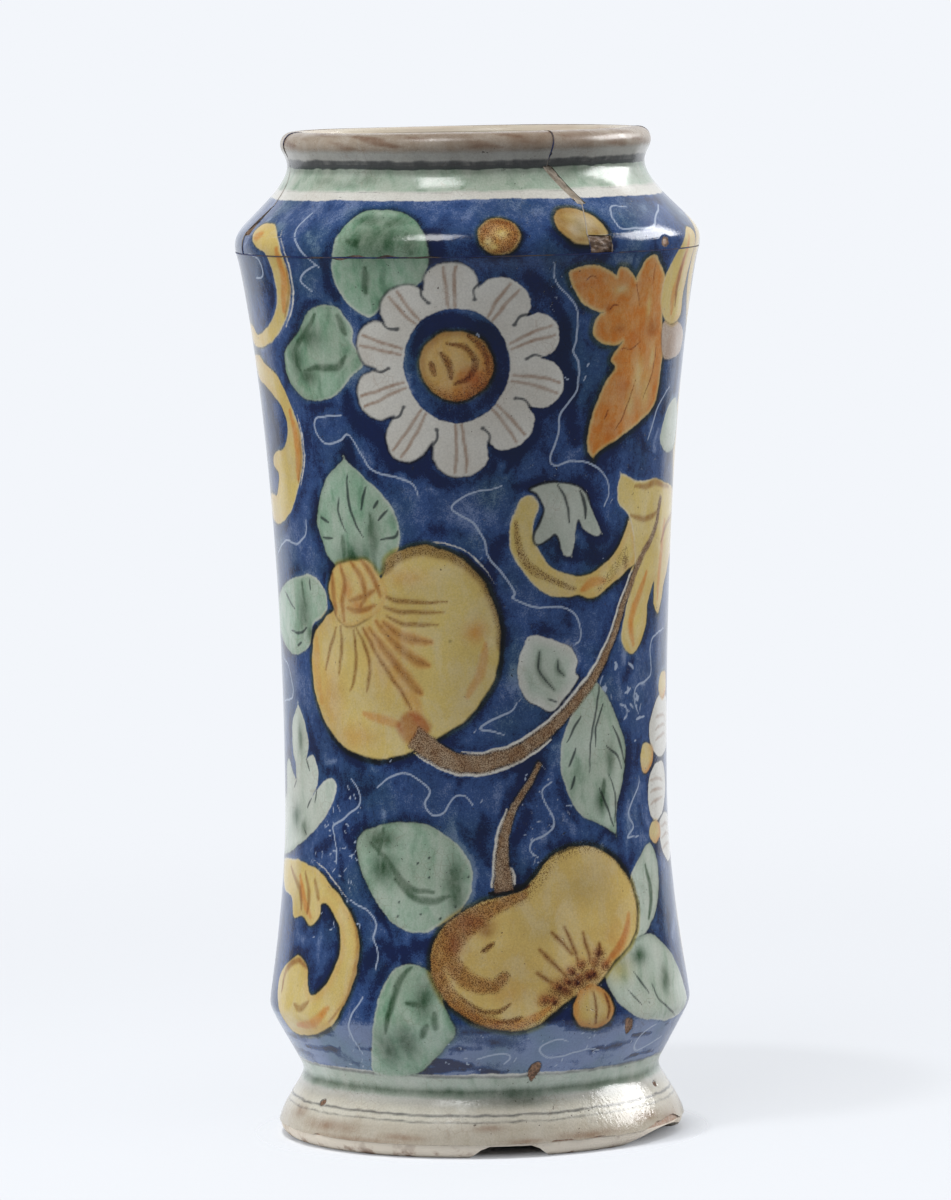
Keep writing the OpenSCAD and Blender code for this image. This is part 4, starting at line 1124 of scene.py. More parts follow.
FLAKES = (
    [(15.2, 21), (15.8, 24.6), (18.6, 25.4), (19, 22.8), (16.8, 19)],
    [(45.2, 37.6), (47.6, 37.2), (49, 34), (47.4, 32.6), (45.8, 35)],
    [(-60.5, 10.5), (-58.5, 11), (-58, 9.6), (-60, 9)], [(72, 12.5), (74, 13), (75, 11.8), (73, 11.4)])


def flakes(canvas):
    """Places where the glaze has come off in spots, each with a painted shadow along its upper edge."""
    for points in FLAKES:
        patch = Patch(canvas, points)
        canvas.raise_to("bare", patch.near, patch.cover(soft=0.6))
        # Painted shadow: a dark line along the upper edge of each flake, where the step down into it would
        # be in shade.
        patch.contour(0.5, 0.8, (0, 1))


def paint(around, up):
    """All layers of paint for the given points."""
    canvas = Canvas(around, up)
    bands(canvas)
    far_side(canvas)
    leaves(canvas)
    daisy(canvas, DAISY_MIDDLE)
    berry(canvas, (8.2, 263.3), (5.6, 6))
    palmate_leaf(canvas)
    scrolls(canvas)
    white_flowers(canvas)
    quince(canvas)
    low_quince(canvas)
    scratches(canvas)
    branches(canvas)
    brushwork(canvas)
    settle(canvas)
    flakes(canvas)
    return canvas.layers


# Meshes

# The patch of the bake map that the faces over a shell's open sides share, as four corners.
CAP_CORNERS = (0.0, 0.996, 0.01, 0.996, 0.01, 0.999, 0.0, 0.999)

# How far aside a break lies at its ends and corners, as shares of its reach, from the shoulder up.
ZIGZAG = (0.4, 0.2, 1.0, -0.8, -0.4)

# The putty's points: millimetres between columns, number of rows, millimetres inside the loss's edges.
FILL_GRID = 0.35
FILL_ROWS = 24
FILL_INSET = 0.1


def grid_faces(rows, columns, wraps):
    """Faces of a grid whose last row joins its first."""
    index = np.arange(rows * columns).reshape(rows, columns)
    below, above = index, np.roll(index, -1, axis=0)
    if wraps:
        corners = (below, np.roll(below, -1, axis=1), np.roll(above, -1, axis=1), above)
    else:
        corners = (below[:, :-1], below[:, 1:], above[:, 1:], above[:, :-1])
    return np.stack(corners, axis=-1).reshape(-1, 4)


def cap_faces(rows, columns):
    """Faces over the two open sides of a shell whose outer and inner rows come in pairs."""
    index = np.arange(2 * rows * columns).reshape(2 * rows, columns)
    outer, inner = index[:rows], index[:rows - 1:-1]
    left = np.stack([outer[:-1, 0], outer[1:, 0], inner[1:, 0], inner[:-1, 0]], axis=-1)
    right = np.stack([outer[:-1, -1], inner[:-1, -1], inner[1:, -1], outer[1:, -1]], axis=-1)
    return np.vstack([left, right])


def bake_coordinates(outer_rows, rows, columns, wraps):
    """Corner coordinates of the grid's faces: the outside fills most of the map, the rest lies above it."""
    heights = np.concatenate([np.linspace(0, 0.9, outer_rows), np.linspace(0.92, 0.99, rows - outer_rows)])
    after = np.concatenate([heights[1:], [0.995]])
    count = columns if wraps else columns - 1
    first = np.arange(count)
    left, right, low, high = np.broadcast_arrays(first / count, (first + 1) / count, heights[:, None],
                                                 after[:, None])
    return np.stack([left, low, right, low, right, high, left, high], axis=-1).reshape(-1, 8)


def shell(name, outer, inner, wraps):
    """A closed skin from two grids of points, the inner one running the same way as the outer."""
    points = np.concatenate([outer, inner[::-1]])
    rows, columns = points.shape[:2]
    faces = grid_faces(rows, columns, wraps)
    corners = bake_coordinates(len(outer), rows, columns, wraps)
    if not wraps:
        caps = cap_faces(len(outer), columns)
        faces = np.vstack([faces, caps])
        corners = np.vstack([corners, np.tile(CAP_CORNERS, (len(caps), 1))])
    mesh = bpy.data.meshes.new(name)
    mesh.from_pydata(points.reshape(-1, 3), [], faces)
    mesh.polygons.foreach_set("use_smooth", np.ones(len(faces), bool))
    mesh.uv_layers.new(name=BAKE_MAP).data.foreach_set("uv", corners.astype(np.float32).ravel())
    sharpen(mesh, len(outer), columns, wraps)
    mesh.update()
    if mesh.validate():
        raise RuntimeError(f"the mesh of {name} has faults")
    piece = bpy.data.objects.new(name, mesh)
    bpy.context.scene.collection.objects.link(piece)
    return piece


def sharpen(mesh, rows, columns, wraps):
    """Keeps the border of the outside crisp."""
    ends = np.empty(2 * len(mesh.edges), np.int32)
    mesh.edges.foreach_get("vertices", ends)
    row, column = np.divmod(ends.reshape(-1, 2), columns)
    border = (row == 0) | (row == rows - 1)
    if not wraps:
        border |= (row < rows) & ((column == 0) | (column == columns - 1))
    mesh.attributes.new("sharp_edge", "BOOLEAN", "EDGE").data.foreach_set("value", border.all(axis=1))


def put_paint(piece, layers, count):
    """Keeps the layers of paint on the outside's points; the inside stays bare of paint."""
    for name, values in layers.items():
        whole = np.full(len(piece.data.vertices), -FAR if name == "ground" else 0.0, np.float32)
        whole[:count] = values
        piece.data.attributes.new(name, "FLOAT", "POINT").data.foreach_set("value", whole)


def ragged(along, seed, reach):
    """Small irregular chipping along an edge, from nothing to about the given reach."""
    rough = waves(along, 0, 1.6, seed, 14) + 0.8 * waves(along, 0, 6, seed + 1)
    return reach * np.clip(rough - 0.4, 0, 1.6)**1.5 + 0.12 * reach * (1 + waves(along, 0, 0.9, seed + 2))


def finished(piece, slot, *nodes):
    """Sets a new piece in the frame, in place of its plain parts."""
    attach(piece, BODY)
    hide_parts(*nodes)


def use_material(pieces, finish):
    for piece in pieces:
        piece.data.materials.clear()
        piece.data.materials.append(finish)


def foot_wear(around):
    """How far the glaze has worn back from the foot's edge."""
    chip = 1.6 * np.exp(-((around - 69) / 11)**4)
    return 0.1 + chip + ragged(around, 31, 0.3)


def break_wear(around, seed):
    """How far the glaze has chipped back from the break all round."""
    return ragged(around, seed, 0.1 + 0.55 * np.exp(-((around + 22) / 14)**4))


def body_skin(jar, profile):
    """The painted glaze from the foot up to the break."""
    columns = int(TURN / jar.grid)
    top = profile.up_to(jar.break_z - jar.glue_t / 2)
    rows = int(top / jar.grid)
    around = -TURN / 2 + TURN * np.arange(columns) / columns
    low, high = foot_wear(around), top - break_wear(around, 41)
    up = low + (high - low) * np.linspace(0, 1, rows)[:, None]
    around = np.broadcast_to(around, up.shape)
    layers = paint(around.ravel(), up.ravel())
    lift = 0.12 * waves(around, up, 30, 51) - 0.38 * layers["bare"].reshape(up.shape)
    few = np.unique(np.linspace(0, rows - 1, rows // 8).astype(int))
    turn = around / DRUM_R
    outer = profile.place(turn, up, lift)
    inner = profile.place(turn[few], up[few], np.full_like(up[few], -jar.glaze_t))
    piece = shell("painted_body", outer, inner, wraps=True)
    put_paint(piece, layers, up.size)
    return piece


def break_corners(jar):
    """Heights of the two corners of a break on the shoulder."""
    rise = jar.neck_z - jar.shoulder_z
    return jar.shoulder_z + 0.15 * rise, jar.shoulder_z + 0.52 * rise


def zigzag(jar, height):
    """Sideways way of a break at the given heights."""
    heights = (jar.break_z - 1, *break_corners(jar), jar.neck_z, jar.height + 1)
    return np.interp(height, heights, np.array(ZIGZAG) * jar.zigzag)


def beside_break(jar, profile, place, up, away):
    """Angles of a line that keeps a sideways distance from a break."""
    radius, height = profile.at(up)
    return place + np.arcsin(np.clip((zigzag(jar, height) + away) / radius, -1, 1))


def band_of(height, low, high):
    """1 between two heights, 0 elsewhere."""
    return ((height > low) & (height < high)).astype(float)


def sherd_edges(jar, breaks, profile, up):
    """Left and right edges of the three sherds, as angles."""
    height = profile.at(up)[1]
    half = jar.glue_t / 2
    step, bend = break_corners(jar)
    neck_loss = (jar.neck_fill_w / 2 - half) * band_of(height, bend, jar.neck_z)
    patch_loss = (jar.shoulder_fill_w - half) * band_of(height, 0, jar.break_z + jar.shoulder_fill_h)
    taper = np.clip((bend - height) / (bend - step), 0, 1)
    left_loss = jar.left_fill_w * taper * band_of(height, step, bend)
    chips = [ragged(3 * up, seed, 0.16) for seed in range(61, 67)]
    front_l = beside_break(jar, profile, breaks.left, up, half + left_loss + chips[0])
    front_r = beside_break(jar, profile, breaks.front, up, -half - neck_loss - chips[1])
    right_l = beside_break(jar, profile, breaks.front, up, half + neck_loss + patch_loss + chips[2])
    right_r = beside_break(jar, profile, breaks.right, up, -half - chips[3])
    back_l = beside_break(jar, profile, breaks.right, up, half + chips[4])
    back_r = beside_break(jar, profile, breaks.left, up, -half - chips[5]) + 2 * math.pi
    return {"front": (front_l, front_r), "right": (right_l, right_r), "back": (back_l, back_r)}


def edge_chip(around, up):
    """The small chip on the shoulder's edge."""
    return np.clip(1.4 - np.hypot((around - 60) / 1.9, (up - 259.2) / 1.7), 0, 1)


def sherd_skin(jar, profile, name, up, left, right):
    """The painted glaze of one sherd above the break."""
    columns = int((right - left).max() * DRUM_R / jar.grid)
    share = np.linspace(0, 1, columns)
    turn = left[:, None] + (right - left)[:, None] * share
    around = turn * DRUM_R
    lowest = break_wear(around[0], 71)
    up = up[:, None] + lowest * np.linspace(1, 0, len(up))[:, None]**6
    layers = paint(around.ravel(), up.ravel())
    layers["bare"] = np.maximum(layers["bare"], edge_chip(around, up).ravel())
    lift = 0.1 * waves(around, up, 30, 51) - 0.4 * layers["bare"].reshape(up.shape)
    outer = profile.place(turn, up, lift)
    inner = profile.place(turn, up, np.full_like(up, -jar.glaze_t))
    piece = shell(name, outer, inner, wraps=False)
    put_paint(piece, layers, up.size)
    return piece


def fill_rows(profile, low, high):
    """Lengths along the outline from just above one height to just below another."""
    return np.linspace(profile.up_to(low) + FILL_INSET, profile.up_to(high) - FILL_INSET, FILL_ROWS)


def putty(jar, profile, name, up, place, first, last, seed):
    """A lumpy filling, just inside two lines that keep their distances from a break."""
    left = beside_break(jar, profile, place, up, first + FILL_INSET)
    right = beside_break(jar, profile, place, up, np.maximum(last - FILL_INSET, first + 2 * FILL_INSET))
    columns = max(int((right - left).max() * DRUM_R / FILL_GRID), 6)
    turn = left[:, None] + (right - left)[:, None] * np.linspace(0, 1, columns)
    up = np.broadcast_to(up[:, None], turn.shape)
    around = turn * DRUM_R
    lumps = 0.22 * waves(around, up, 1.1, seed, 12) + 0.18 * waves(around, up, 0.45, seed + 1, 12)
    outer = profile.place(turn, up, lumps - 0.3)
    inner = profile.place(turn, up, np.full_like(turn, -jar.glaze_t - jar.fill_depth + 0.1))
    return shell(name, outer, inner, wraps=False)


# Materials

class Nodes:
    """Adds nodes to a tree and links them."""

    def __init__(self, tree, coordinates):
        self.tree = tree
        self.place = self.add("ShaderNodeTexCoord").outputs[coordinates]

    def add(self, kind, **settings):
        node = self.tree.nodes.new(kind)
        for key, value in settings.items():
            setattr(node, key, value)
        return node

    def put(self, socket, value):
        if isinstance(value, bpy.types.NodeSocket):
            self.tree.links.new(value, socket)
        elif socket.type == "RGBA":
            socket.default_value = (*value, 1)
        else:
            socket.default_value = value

    def attribute(self, name):
        return self.add("ShaderNodeAttribute", attribute_name=name).outputs["Fac"]

    def noise(self, size_mm, detail=3.0, roughness=0.55, stretch=(1, 1, 1), distortion=0.0):
        """Noise with grains of about the given size."""
        mapping = self.add("ShaderNodeMapping")
        self.put(mapping.inputs["Vector"], self.place)
        mapping.inputs["Scale"].default_value = stretch
        noise = self.add("ShaderNodeTexNoise")
        self.put(noise.inputs["Vector"], mapping.outputs["Vector"])
        for key, value in (("Scale", 1000 / size_mm), ("Detail", detail), ("Roughness", roughness),
                           ("Distortion", distortion)):
            noise.inputs[key].default_value = value
        return noise.outputs["Fac"]

    def cells(self, size_mm):
        """How far a point lies from the edge of its cell."""
        cells = self.add("ShaderNodeTexVoronoi", feature="DISTANCE_TO_EDGE")
        self.put(cells.inputs["Vector"], self.place)
        cells.inputs["Scale"].default_value = 1000 / size_mm
        return cells.outputs["Distance"]

    def axes(self):
        """The three coordinates of a point."""
        split = self.add("ShaderNodeSeparateXYZ")
        self.put(split.inputs[0], self.place)
        return split.outputs

    def height(self):
        """The height above the ground, in metres."""
        return self.axes()["Z"]

    def math(self, operation, *values):
        node = self.add("ShaderNodeMath", operation=operation)
        for socket, value in zip(node.inputs, values):
            self.put(socket, value)
        return node.outputs[0]

    def ramp(self, value, low, high, first=0.0, last=1.0):
        """From the first number to the last as the value goes from low to high."""
        node = self.add("ShaderNodeMapRange", interpolation_type="SMOOTHSTEP")
        for key, number in (("Value", value), ("From Min", low), ("From Max", high), ("To Min", first),
                            ("To Max", last)):
            self.put(node.inputs[key], number)
        return node.outputs["Result"]

    def blend(self, factor, a, b, kind="MIX"):
        node = self.add("ShaderNodeMix", data_type="RGBA", blend_type=kind)
        self.put(node.inputs[0], factor)
        self.put(node.inputs[6], a)
        self.put(node.inputs[7], b)
        return node.outputs[2]

    def bump(self, height, distance_mm, strength=1.0, under=None):
        node = self.add("ShaderNodeBump")
        node.inputs["Distance"].default_value = distance_mm / 1000
        node.inputs["Strength"].default_value = strength
        self.put(node.inputs["Height"], height)
        if under:
            self.put(node.inputs["Normal"], under)
        return node.outputs["Normal"]

    def for_camera(self, seen, otherwise):
        """One number for what the camera sees, another for what lights other things."""
        node = self.add("ShaderNodeMix")
        self.put(node.inputs[0], self.add("ShaderNodeLightPath").outputs["Is Camera Ray"])
        self.put(node.inputs[2], otherwise)
        self.put(node.inputs[3], seen)
        return node.outputs[0]


class Finish(Nodes):
    """One material and its nodes."""

    def __init__(self, name):
        self.material = bpy.data.materials.new(f"jar_{name}")
        self.material.use_nodes = True
        super().__init__(self.material.node_tree, "Object")
        self.shader = self.tree.nodes["Principled BSDF"]

    def finish(self, base, roughness, normal):
        for key, value in (("Base Color", base), ("Roughness", roughness), ("Normal", normal)):
            self.put(self.shader.inputs[key], value)
        return self.material


def cobalt_colour(n, colours, brush, grain):
    """Blue from thin and pale to thick and dark."""
    thick = n.attribute("ink")
    for part in (n.ramp(brush, 0.25, 0.75, -0.3, 0.3), n.ramp(n.noise(1.5, 2, 0.6), 0.25, 0.75, -0.2, 0.2),
                 n.ramp(grain, 0.25, 0.75, -0.38, 0.38)):
        thick = n.math("ADD", thick, part)
    paler = n.blend(n.ramp(thick, -1.1, 0.05), colours.cobalt_pale, colours.cobalt)
    blue = n.blend(n.ramp(thick, 0.0, 0.9), paler, colours.cobalt_dark)
    return n.blend(n.ramp(n.noise(20, 2), 0.42, 0.68, 0, 0.7), blue, colours.sea, "MULTIPLY")


def washes(n, colours, colour, brush, grain):
    """Thin pigments, one over another; the greens run down in streaks."""
    streak = n.noise(4.5, 3, 0.55, (1, 1, 0.45), 0.5)
    uneven = n.math("MULTIPLY", n.ramp(brush, 0.25, 0.75, 0.78, 1.1), n.ramp(grain, 0.2, 0.8, 0.9, 1.08))
    watery = n.math("MULTIPLY", n.ramp(streak, 0.3, 0.7, 0.76, 1.08), uneven)
    pooled = n.math("MULTIPLY", n.attribute("green"), n.ramp(streak, 0.52, 0.75, 0, 0.4))
    mottled = n.math("MULTIPLY", uneven, n.ramp(n.noise(3, 3, 0.6), 0.3, 0.7, 0.8, 1.08))
    flow = {"green": watery, "deep_green": watery, "orange": mottled, "brown": mottled, "red": mottled}
    for layer in ("grey", "taupe", "green", "deep_green", "yellow", "orange", "brown", "red"):
        strength = n.attribute(layer)
        if layer == "deep_green":
            strength = n.math("MAXIMUM", strength, pooled)
        strength = n.math("MULTIPLY", strength, flow.get(layer, uneven))
        colour = n.blend(strength, colour, getattr(colours, layer), "MULTIPLY")
    return colour


def over(n, colour, layer, rough, low, high, share, pigment, kind="MULTIPLY"):
    """Lines of one pigment, with edges roughened by a noise."""
    line = n.ramp(n.math("ADD", n.attribute(layer), n.ramp(rough, 0.2, 0.8, -0.12, 0.12)), low, high)
    return n.blend(n.math("MULTIPLY", line, share), colour, pigment, kind)


def painted_colour(n, colours):
    """The pigments, one over another, on the white glaze."""
    brush = n.noise(6, 4, 0.6, (1, 1, 0.55), 0.6)
    grain = n.noise(0.4, 2, 0.7)
    colour = n.blend(n.ramp(n.noise(16, 3), 0.3, 0.7), colours.tin_white, colours.tin_shade)
    crackle = n.math("MULTIPLY", n.ramp(n.cells(2.6), 0.0, 0.05, 0.3, 0), n.ramp(n.noise(13, 2), 0.48, 0.62))
    crackle = n.math("MULTIPLY", crackle, n.ramp(n.attribute("yellow"), 0.1, 0.5, 1, 0.25))
    colour = n.blend(crackle, colour, colours.brown, "MULTIPLY")
    colour = washes(n, colours, colour, brush, grain)
    colour = n.blend(1.0, colour, n.ramp(n.noise(0.55, 3, 0.65), 0.3, 0.7, 0.9, 1.06), "MULTIPLY")
    stipple = n.attribute("stipple")
    crowd = n.math("ADD", n.noise(0.3, 1, 0.5), n.math("MULTIPLY", stipple, 0.2))
    dots = n.math("MULTIPLY", n.ramp(crowd, 0.54, 0.68), n.ramp(stipple, 0.02, 0.2))
    colour = n.blend(n.math("MULTIPLY", dots, 0.8), colour, colours.manganese, "MULTIPLY")
    colour = over(n, colour, "rust", grain, 0.2, 0.6, 0.85, colours.rust)
    fray = n.ramp(n.noise(1.2, 3, 0.6), 0.25, 0.75, -0.14, 0.14)
    cover = n.ramp(n.math("ADD", n.attribute("ground"), fray), -0.32, 0.32)
    colour = n.blend(cover, colour, cobalt_colour(n, colours, brush, grain), "MULTIPLY")
    colour = over(n, colour, "line", brush, 0.15, 0.75, 0.85, colours.line)
    return over(n, colour, "scratch", grain, 0.2, 0.65, 0.85, colours.scratch, "MIX")


def painted_glaze(colours):
    """Glossy painted tin glaze, with pinholes, and bare clay where it has flaked off."""
    n = Finish("painted_glaze")
    colour = painted_colour(n, colours)
    pits = n.ramp(n.noise(1.0, 2, 0.5), 0.70, 0.75)
    sparse = n.ramp(n.noise(22, 2), 0.44, 0.58)
    holes = n.math("MULTIPLY", pits, sparse)
    colour = n.blend(n.math("MULTIPLY", holes, 0.8), colour, colours.dirt, "MULTIPLY")
    rough_clay = n.noise(0.9, 4, 0.7)
    clay = n.blend(n.ramp(rough_clay, 0.35, 0.65), colours.clay, colours.dirt)
    bare = n.ramp(n.math("ADD", n.attribute("bare"), n.ramp(rough_clay, 0.3, 0.7, -0.2, 0.2)), 0.4, 0.6)
    colour = n.blend(bare, colour, clay)
    dull = n.math("MULTIPLY", n.attribute("dull"), n.ramp(n.noise(3, 3), 0.3, 0.7, 0.22, 0.42))
    gloss = n.math("ADD", n.ramp(n.noise(9, 3), 0.3, 0.7, 0.09, 0.16), dull)
    roughness = n.math("MAXIMUM", gloss, n.math("MULTIPLY", bare, 0.85))
    wavy = n.bump(n.noise(5, 2), 0.09, 0.7)
    fine = n.bump(n.noise(0.6, 2), 0.05, 0.75, wavy)
    foot = n.ramp(n.height(), 0.012, 0.02, 1, 0)
    fine = n.bump(n.math("MULTIPLY", foot, n.noise(1.4, 3, 0.6, (1, 1, 0.6))), 0.16, 0.8, fine)
    skin = n.bump(holes, -0.12, 0.8, fine)
    return n.finish(colour, roughness, n.bump(n.math("MULTIPLY", bare, rough_clay), 0.5, 0.8, skin))


def fired_clay(colours):
    """Brown inside, with a smooth, paler skin round the foot's edge."""
    n = Finish("fired_clay")
    grit = n.noise(0.8, 4, 0.7)
    patches = n.noise(7, 4, 0.6)
    colour = n.blend(n.ramp(grit, 0.35, 0.7), colours.clay, colours.taupe)
    colour = n.blend(n.math("MULTIPLY", n.ramp(patches, 0.45, 0.7), 0.6), colour, colours.dirt)
    height = n.height()
    worn = n.math("MULTIPLY", n.ramp(patches, 0.5, 0.62), n.ramp(height, 0.0005, 0.003, 1.0, 0.35))
    skin = n.math("MULTIPLY", n.ramp(height, 0.0041, 0.0043, 1, 0), n.math("SUBTRACT", 1.0, worn))
    colour = n.blend(skin, colour, colours.skin)
    return n.finish(colour, n.ramp(patches, 0.3, 0.7, 0.6, 0.85), n.bump(grit, 0.2, 0.7))


def lining_glaze(colours):
    """The plain glaze inside, stained by what the jar held."""
    n = Finish("lining_glaze")
    cloud = n.noise(24, 4, 0.6)
    rings = n.noise(9, 3, 0.5, (0.3, 0.3, 2.5))
    colour = n.blend(n.ramp(cloud, 0.4, 0.75, 0, 0.7), colours.lining, colours.taupe)
    stain = n.math("MULTIPLY", n.ramp(rings, 0.5, 0.72), 0.35)
    colour = n.blend(stain, colour, colours.brown, "MULTIPLY")
    specks = n.ramp(n.noise(1.4, 2), 0.7, 0.75)
    colour = n.blend(n.math("MULTIPLY", specks, 0.6), colour, colours.dirt)
    return n.finish(colour, n.ramp(cloud, 0.3, 0.7, 0.2, 0.4), n.bump(rings, 0.2, 0.5))


def old_glue(colours):
    """Dark glue with dirt in it, wiped pale over the shoulder."""
    n = Finish("old_glue")
    lumps = n.noise(1.5, 3, 0.6)
    colour = n.blend(n.ramp(lumps, 0.3, 0.7), colours.glue, colours.dirt)
    colour = n.blend(n.ramp(n.noise(9, 2), 0.42, 0.58), colour, colours.cobalt_dark)
    height = n.height()
    wiped = n.math("MULTIPLY", n.ramp(height, 0.257, 0.26), n.ramp(height, 0.281, 0.283, 0.7, 0))
    colour = n.blend(wiped, colour, colours.pale_fill)
    return n.finish(colour, n.ramp(lumps, 0.3, 0.7, 0.35, 0.7), n.bump(lumps, 0.1, 0.6))


def grey_putty(colours):
    """Putty with dirt in it, paler towards the neck."""
    n = Finish("grey_putty")
    lumps = n.noise(2.2, 4, 0.65)
    grit = n.noise(0.5, 3, 0.7)
    colour = n.blend(n.ramp(lumps, 0.35, 0.65), colours.fill, colours.dirt)
    colour = n.blend(n.ramp(n.height(), 0.262, 0.268, 0, 0.65), colour, colours.pale_fill)
    colour = n.blend(n.ramp(grit, 0.6, 0.72, 0, 0.35), colour, colours.tin_shade)
    return n.finish(colour, n.ramp(lumps, 0.3, 0.7, 0.3, 0.75), n.bump(grit, 0.2, 0.8))


def material(make, colours):
    """The named finish, made once."""
    return bpy.data.materials.get(f"jar_{make.__name__}") or make(colours)


def dress(context, ending, make):
    """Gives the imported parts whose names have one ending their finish."""
    pieces = [piece for name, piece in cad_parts.items() if name.endswith(ending)]
    if not pieces:
        raise RuntimeError(f"no part's name ends in {ending}")
    use_material(pieces, material(make, context.scene.jar_colours))


# Stage

CAMERA_PLACE = Vector((0, -2.130, 0.333))
CAMERA_AIM = Vector((0.0007, 0, 0.154))
CAMERA_ROLL = math.radians(0.95)
CAMERA_LENS = 221.9
LAMP_AIM = Vector((0, 0, 0.15))
FLOOR_HALF = 6.0
PAPER_SHADE = 0.88
PAPER_LIGHT = 1.05
ROOM_LIGHT = 0.25


def set_camera():
    data = bpy.data.cameras.new("camera")
    data.lens = CAMERA_LENS
    data.sensor_width = 36
    data.clip_start, data.clip_end = 0.01, 50
    camera = bpy.data.objects.new("camera", data)
    bpy.context.scene.collection.objects.link(camera)
    facing = (CAMERA_AIM - CAMERA_PLACE).to_track_quat("-Z", "Y").to_matrix().to_4x4()
    camera.matrix_world = Matrix.Translation(CAMERA_PLACE) @ facing @ Matrix.Rotation(-CAMERA_ROLL, 4, "Z")
    bpy.context.scene.camera = camera


def soft_lamp(name, azimuth, elevation, distance, size, power, glossy=True, receivers=None):
    """An oblong lamp round the jar, counted from the front towards the right, that looks at its middle."""
    data = bpy.data.lights.new(name, "AREA")
    data.shape = "RECTANGLE"
    data.size, data.size_y = size
    data.energy = power
    lamp = bpy.data.objects.new(name, data)
    lamp.visible_glossy = glossy
    lamp.light_linking.receiver_collection = receivers
    bpy.context.scene.collection.objects.link(lamp)
    turn, rise = math.radians(azimuth), math.radians(elevation)
    flat = math.cos(rise)
    way = Vector((math.sin(turn) * flat, -math.cos(turn) * flat, math.sin(rise)))
    lamp.location = LAMP_AIM + distance * way
    lamp.rotation_euler = (LAMP_AIM - lamp.location).to_track_quat("-Z", "Y").to_euler()


def only(thing, state):
    """A lamp's list of one thing: the only one that it lights (INCLUDE) or leaves out (EXCLUDE)."""
    receivers = bpy.data.collections.new(f"{thing.name}_{state.lower()}")
    receivers.objects.link(thing)
    receivers.collection_objects[0].light_linking.link_state = state
    return receivers


def set_world(backdrop):
    """All paper to the camera; to the jar, paper behind and high on the right in a dim room."""
    world = bpy.data.worlds.new("studio")
    bpy.context.scene.world = world
    world.use_nodes = True
    n = Nodes(world.node_tree, "Generated")
    background = n.tree.nodes["Background"]
    n.put(background.inputs["Color"], backdrop)
    right, behind, above = n.axes()
    towards = n.math("MULTIPLY_ADD", n.math("MULTIPLY", right, above), 0.5, behind)
    n.put(background.inputs["Strength"],
          n.for_camera(1.0, n.ramp(towards, 0.70, 0.76, ROOM_LIGHT, PAPER_LIGHT)))


def set_floor(backdrop):
    """Pale paper that keeps the jar's shadow and passes into the backdrop further off."""
    mesh = bpy.data.meshes.new("floor")
    corners = [(x * FLOOR_HALF, y * FLOOR_HALF, 0) for x, y in ((-1, -1), (1, -1), (1, 1), (-1, 1))]
    mesh.from_pydata(corners, [], [(0, 1, 2, 3)])
    floor = bpy.data.objects.new("floor", mesh)
    bpy.context.scene.collection.objects.link(floor)
    n = Finish("paper")
    paper = [PAPER_SHADE * share for share in backdrop]
    for key, value in (("Base Color", paper), ("Roughness", 0.9), ("Specular IOR Level", 0.1)):
        n.put(n.shader.inputs[key], value)
    distance = n.add("ShaderNodeVectorMath", operation="LENGTH")
    n.put(distance.inputs[0], n.place)
    far = distance.outputs["Value"]
    # How clear the paper is, by its distance from the jar: to look at, and for the light it sends back.
    seen = n.math("MULTIPLY", n.ramp(far, 0.046, 0.07), n.ramp(far, 0.25, 0.8, 0.78, 1.0))
    lit = n.math("MULTIPLY", n.ramp(far, 0.05, 0.13), n.ramp(far, 0.18, 0.75, 0.4, 1.0))
    clear = n.add("ShaderNodeBsdfTransparent")
    mix = n.add("ShaderNodeMixShader")
    for socket, value in zip(mix.inputs, (n.for_camera(seen, lit), n.shader.outputs[0], clear.outputs[0])):
        n.put(socket, value)
    n.put(n.tree.nodes["Material Output"].inputs["Surface"], mix.outputs[0])
    mesh.materials.append(n.material)
    return floor


# Operators

class JAR_OT_painted_body(bpy.types.Operator):
    """Makes the painted glaze of the body and foot"""
    bl_idname = "jar.painted_body"
    bl_label = "Painted body"

    def execute(self, context):
        jar = millimetres(context.scene.jar_sizes)
        piece = body_skin(jar, Profile(jar))
        use_material([piece], material(painted_glaze, context.scene.jar_colours))
        finished(piece, "painted_glaze", "body_glaze")
        return {"FINISHED"}


class JAR_OT_painted_sherds(bpy.types.Operator):
    """Makes the painted glaze of the three sherds above the break"""
    bl_idname = "jar.painted_sherds"
    bl_label = "Painted sherds"

    def execute(self, context):
        jar = millimetres(context.scene.jar_sizes)
        profile = Profile(jar)
        up = np.arange(profile.up_to(jar.break_z + jar.glue_t / 2), profile.length, 0.9 * jar.grid)
        up = np.append(up, profile.length)
        for name, (left, right) in sherd_edges(jar, context.scene.jar_breaks, profile, up).items():
            piece = sherd_skin(jar, profile, f"painted_{name}_sherd", up, left, right)
            use_material([piece], material(painted_glaze, context.scene.jar_colours))
            finished(piece, "painted_glaze", f"{name}_sherd_glaze")
        return {"FINISHED"}


class JAR_OT_bare_clay(bpy.types.Operator):
    """Gives the clay of body and sherds its finish"""
    bl_idname = "jar.bare_clay"
    bl_label = "Bare clay"

    def execute(self, context):
        dress(context, "_clay", fired_clay)
        return {"FINISHED"}


class JAR_OT_linings(bpy.types.Operator):
    """Gives the glaze inside its finish"""
    bl_idname = "jar.linings"
    bl_label = "Linings"

    def execute(self, context):
        dress(context, "_lining", lining_glaze)
        return {"FINISHED"}


class JAR_OT_glued_breaks(bpy.types.Operator):
    """Gives the glue in the breaks its finish"""
    bl_idname = "jar.glued_breaks"
    bl_label = "Glued breaks"

    def execute(self, context):
        dress(context, "_glue", old_glue)
        return {"FINISHED"}


